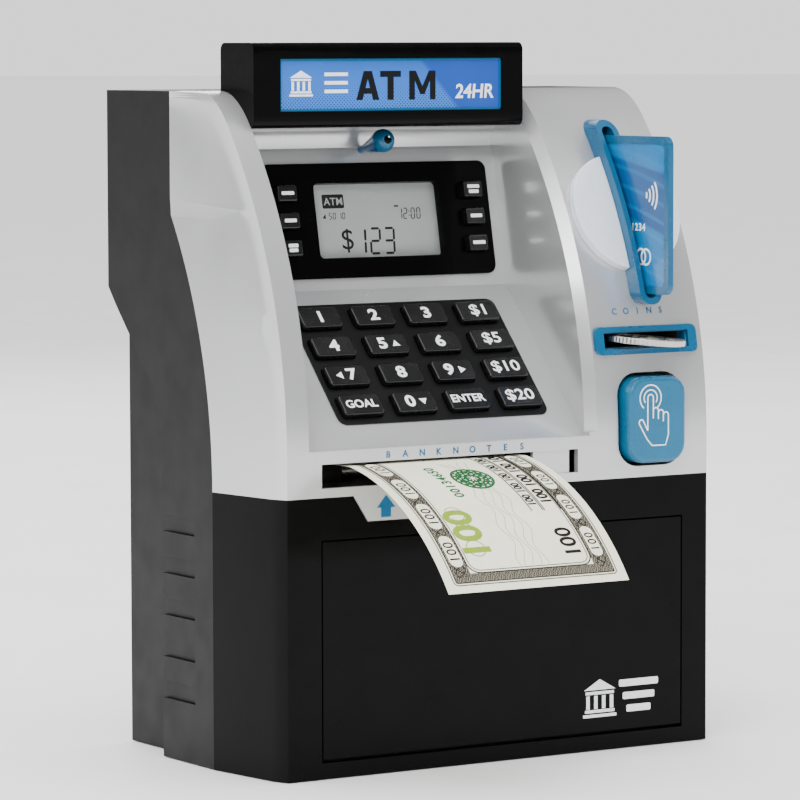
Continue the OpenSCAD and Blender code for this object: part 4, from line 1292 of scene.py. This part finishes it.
def make_card():
    half_t, face_t = CARD_T / 2, CARD_T / 2 - 0.35

    def plate(inset, r, half):
        middle = CARD_LENGTH / 2 - CARD_OUT
        outline = round_rect(middle, CARD_Z, CARD_LENGTH - inset, CARD_H - inset, r, 8)
        return prism(outline, CARD_X - half, CARD_X + half)

    stand_in("bank_card", plate(4.6, 2.2, face_t), CARD_FACE, "card_face")
    rim = boolean(plate(0, 3.2, half_t), [plate(5, 2.0, CARD_T)])
    tidy_mesh(rim, 0.3)
    weighted(place("card_rim", rounded(rim, 0.4), TEAL, "card", "card_blue"))
    # Both faces are printed; x runs toward the front on the machine's left side, and back on its right
    for side, tag, wave_x, digit_x, mark_x in ((-1, "left", -3.8, -6.6, -4.0), (1, "right", -4.6, 6.6, 6.0)):
        face = Sheet(at(CARD_X + side * face_t, 0, CARD_Z), (0, side, 0))
        arcs = [stroke(circle(wave_x, 6.4, 1.6 + k * 1.9, -36, 72, 12), 0.8) for k in range(4)]
        number = moved(lettering("1234", 3.4, bold=0.07, spacing=1.2), digit_x, -4.0)
        rings = [stroke(circle(mark_x + x, -13.6, 2.5, steps=30), 0.7, True) for x in (-1.4, 1.4)]
        for name, parts in (("card_waves_", arcs), ("card_digits_", [number]), ("card_mark_", rings)):
            print_on(face, name + tag, parts, WHITE_INK, "card")


# ---- touch button
def make_touch_button():
    refine("touch_button", 1.5, LIGHT_TEAL, segments=5)
    pen = 0.42
    x = -3.2  # middle of the pointing finger
    wrist = (x - 1.1, -3.4)
    parts = [stroke([wrist] + circle(x, 7.2, 1.1, 180, -180, 10) + [(x + 1.1, 0.5)], pen)]
    for k in range(3):
        left, top = x + 1.1 + k * 2.0, 3.0 - k * 0.8
        foot = (left + 2.0, top - 2.8 if k < 2 else -5.0)
        parts.append(stroke(circle(left + 1.0, top, 1.0, 180, -180, 8) + [foot], pen))
    thumb = circle(x - 3.6, -0.7, 0.95, 205, -150, 6)
    palm = [(x + 7.1, -5.0), (x + 6.0, -8.3), (x + 0.6, -8.3), (x - 1.5, -6.0)]
    parts.append(stroke(palm + thumb + [wrist], pen))
    parts.append(stroke(circle(x, 7.2, 2.6, -35, 250, 22), pen))
    parts.append(stroke(circle(x, 7.2, 4.2, -50, 280, 28), pen))
    print_on(Sheet(at(TOUCH_X, TOUCH_FACE_D, TOUCH_Z)), "touch_icon", parts, WHITE_INK, "touch")


# ---- labels on the fascia and the door
LABEL_SIZE, COINS_LABEL_Z = 2.9, 141.9


def make_labels():
    front = Sheet(at(0, 0, 0))
    notes = [moved(lettering(letter, LABEL_SIZE, bold=0.07), -43.2 + i * 6.3, 100.5)
             for i, letter in enumerate("BANKNOTES")]
    print_on(front, "label_banknotes", notes, BLUE_INK)
    arrow = [
        (-46.0, 80.9), (-42.3, 80.9), (-42.3, 83.9), (-40.6, 83.9),
        (-44.15, 87.9), (-47.6, 83.9), (-46.0, 83.9),
    ]
    print_on(front, "label_arrow", [flat_shape(arrow)], BLUE_INK)
    lean = math.asin((COINS_LABEL_Z - CHEEK_Z) / CHEEK_R)
    cheek = Sheet(at(0, cheek_d(COINS_LABEL_Z), COINS_LABEL_Z), up=(0, math.sin(lean), math.cos(lean)))
    coins = [moved(lettering(letter, LABEL_SIZE, bold=0.05), 46.8 + i * 4.6, 0)
             for i, letter in enumerate("COINS")]
    print_on(cheek, "label_coins", coins, BLUE_INK)
    print_on(front, "door_icon", bank_icon(37.6, 17, 12.4), WHITE_INK, "door")
    bars = [bar(53.0, 21.2 - 4.2 * k, 15.6 - 3 * k, 2.3, 0.5) for k in range(3)]
    print_on(front, "door_bars", bars, WHITE_INK, "door")


# ---- back and inside
BACK_D = 102


def make_battery_door():
    """Four finger grooves cross the middle of the battery door."""
    door = NODES["battery_door"].data.copy()
    tidy_mesh(door)
    heights = [60 + 2.4 * i for i in range(4)]
    grooves = [slab(round_rect(0, z, 16 - 1.6 * i, 1.1, 0.5), BACK_D - 0.5, BACK_D + 1)
               for i, z in enumerate(heights)]
    door = boolean(rounded(door, 0.35), grooves)
    score(door, across((0,)) + level(heights))
    weighted(stand_in("battery_door", shaded(door, 30), CHARCOAL))


def make_screws():
    """Cross-head screws in the rear cover; their depth is measured from the front."""
    profile = [(0, 99.4), (3.0, 99.4), (3.1, 99.8), (3.1, 100.7), (2.6, 101.2), (0, 101.25)]
    for i, (x, z) in enumerate((x, z) for x in (-66, 66) for z in (12, 112)):
        cross = [extruded([(-w, -h), (w, -h), (w, h), (-w, h)], 100.3, BACK_D, lambda x, y, z: (x, y, z))
                 for w, h in ((2.0, 0.4), (0.4, 2.0))]
        head = boolean(lathe(profile, 32), cross)
        turn = Matrix.Rotation(math.radians(-90), 4, "X") @ Matrix.Rotation(0.4 + i, 4, "Z")
        head.transform(Matrix.Translation(at(x, 0, z)) @ turn @ Matrix.Scale(MM, 4))
        place("screw_head_%d" % (i + 1), shaded(head, 30), STEEL, slot="steel")


def dress_inside():
    """The CAD nodes that stay as they are take their slot's material."""
    for node, obj in NODES.items():
        if not obj.hide_render:
            obj.data.materials.clear()
            obj.data.materials.append(LOOK_OF_SLOT[SLOT_OF[node]])


def make_floor():
    corners = [(x * FLOOR_HALF, y * FLOOR_HALF, FLOOR_Z) for x, y in ((-1, -1), (1, -1), (1, 1), (-1, 1))]
    mesh = mesh_of(corners, [[0, 1, 2, 3]])
    mesh.materials.append(Look("floor", (0.93, 0.93, 0.93), 0.6).finish(0.01, 120, 0.55, 0.65, 60))
    linked("floor", mesh)


make_camera()
make_studio()
make_floor()
make_fascia()
make_shells()
make_sign()
make_camera_dome()
make_screen()
make_buttons()
make_keys()
make_note()
make_coin()
make_card()
make_touch_button()
make_labels()
make_battery_door()
make_screws()
dress_inside()
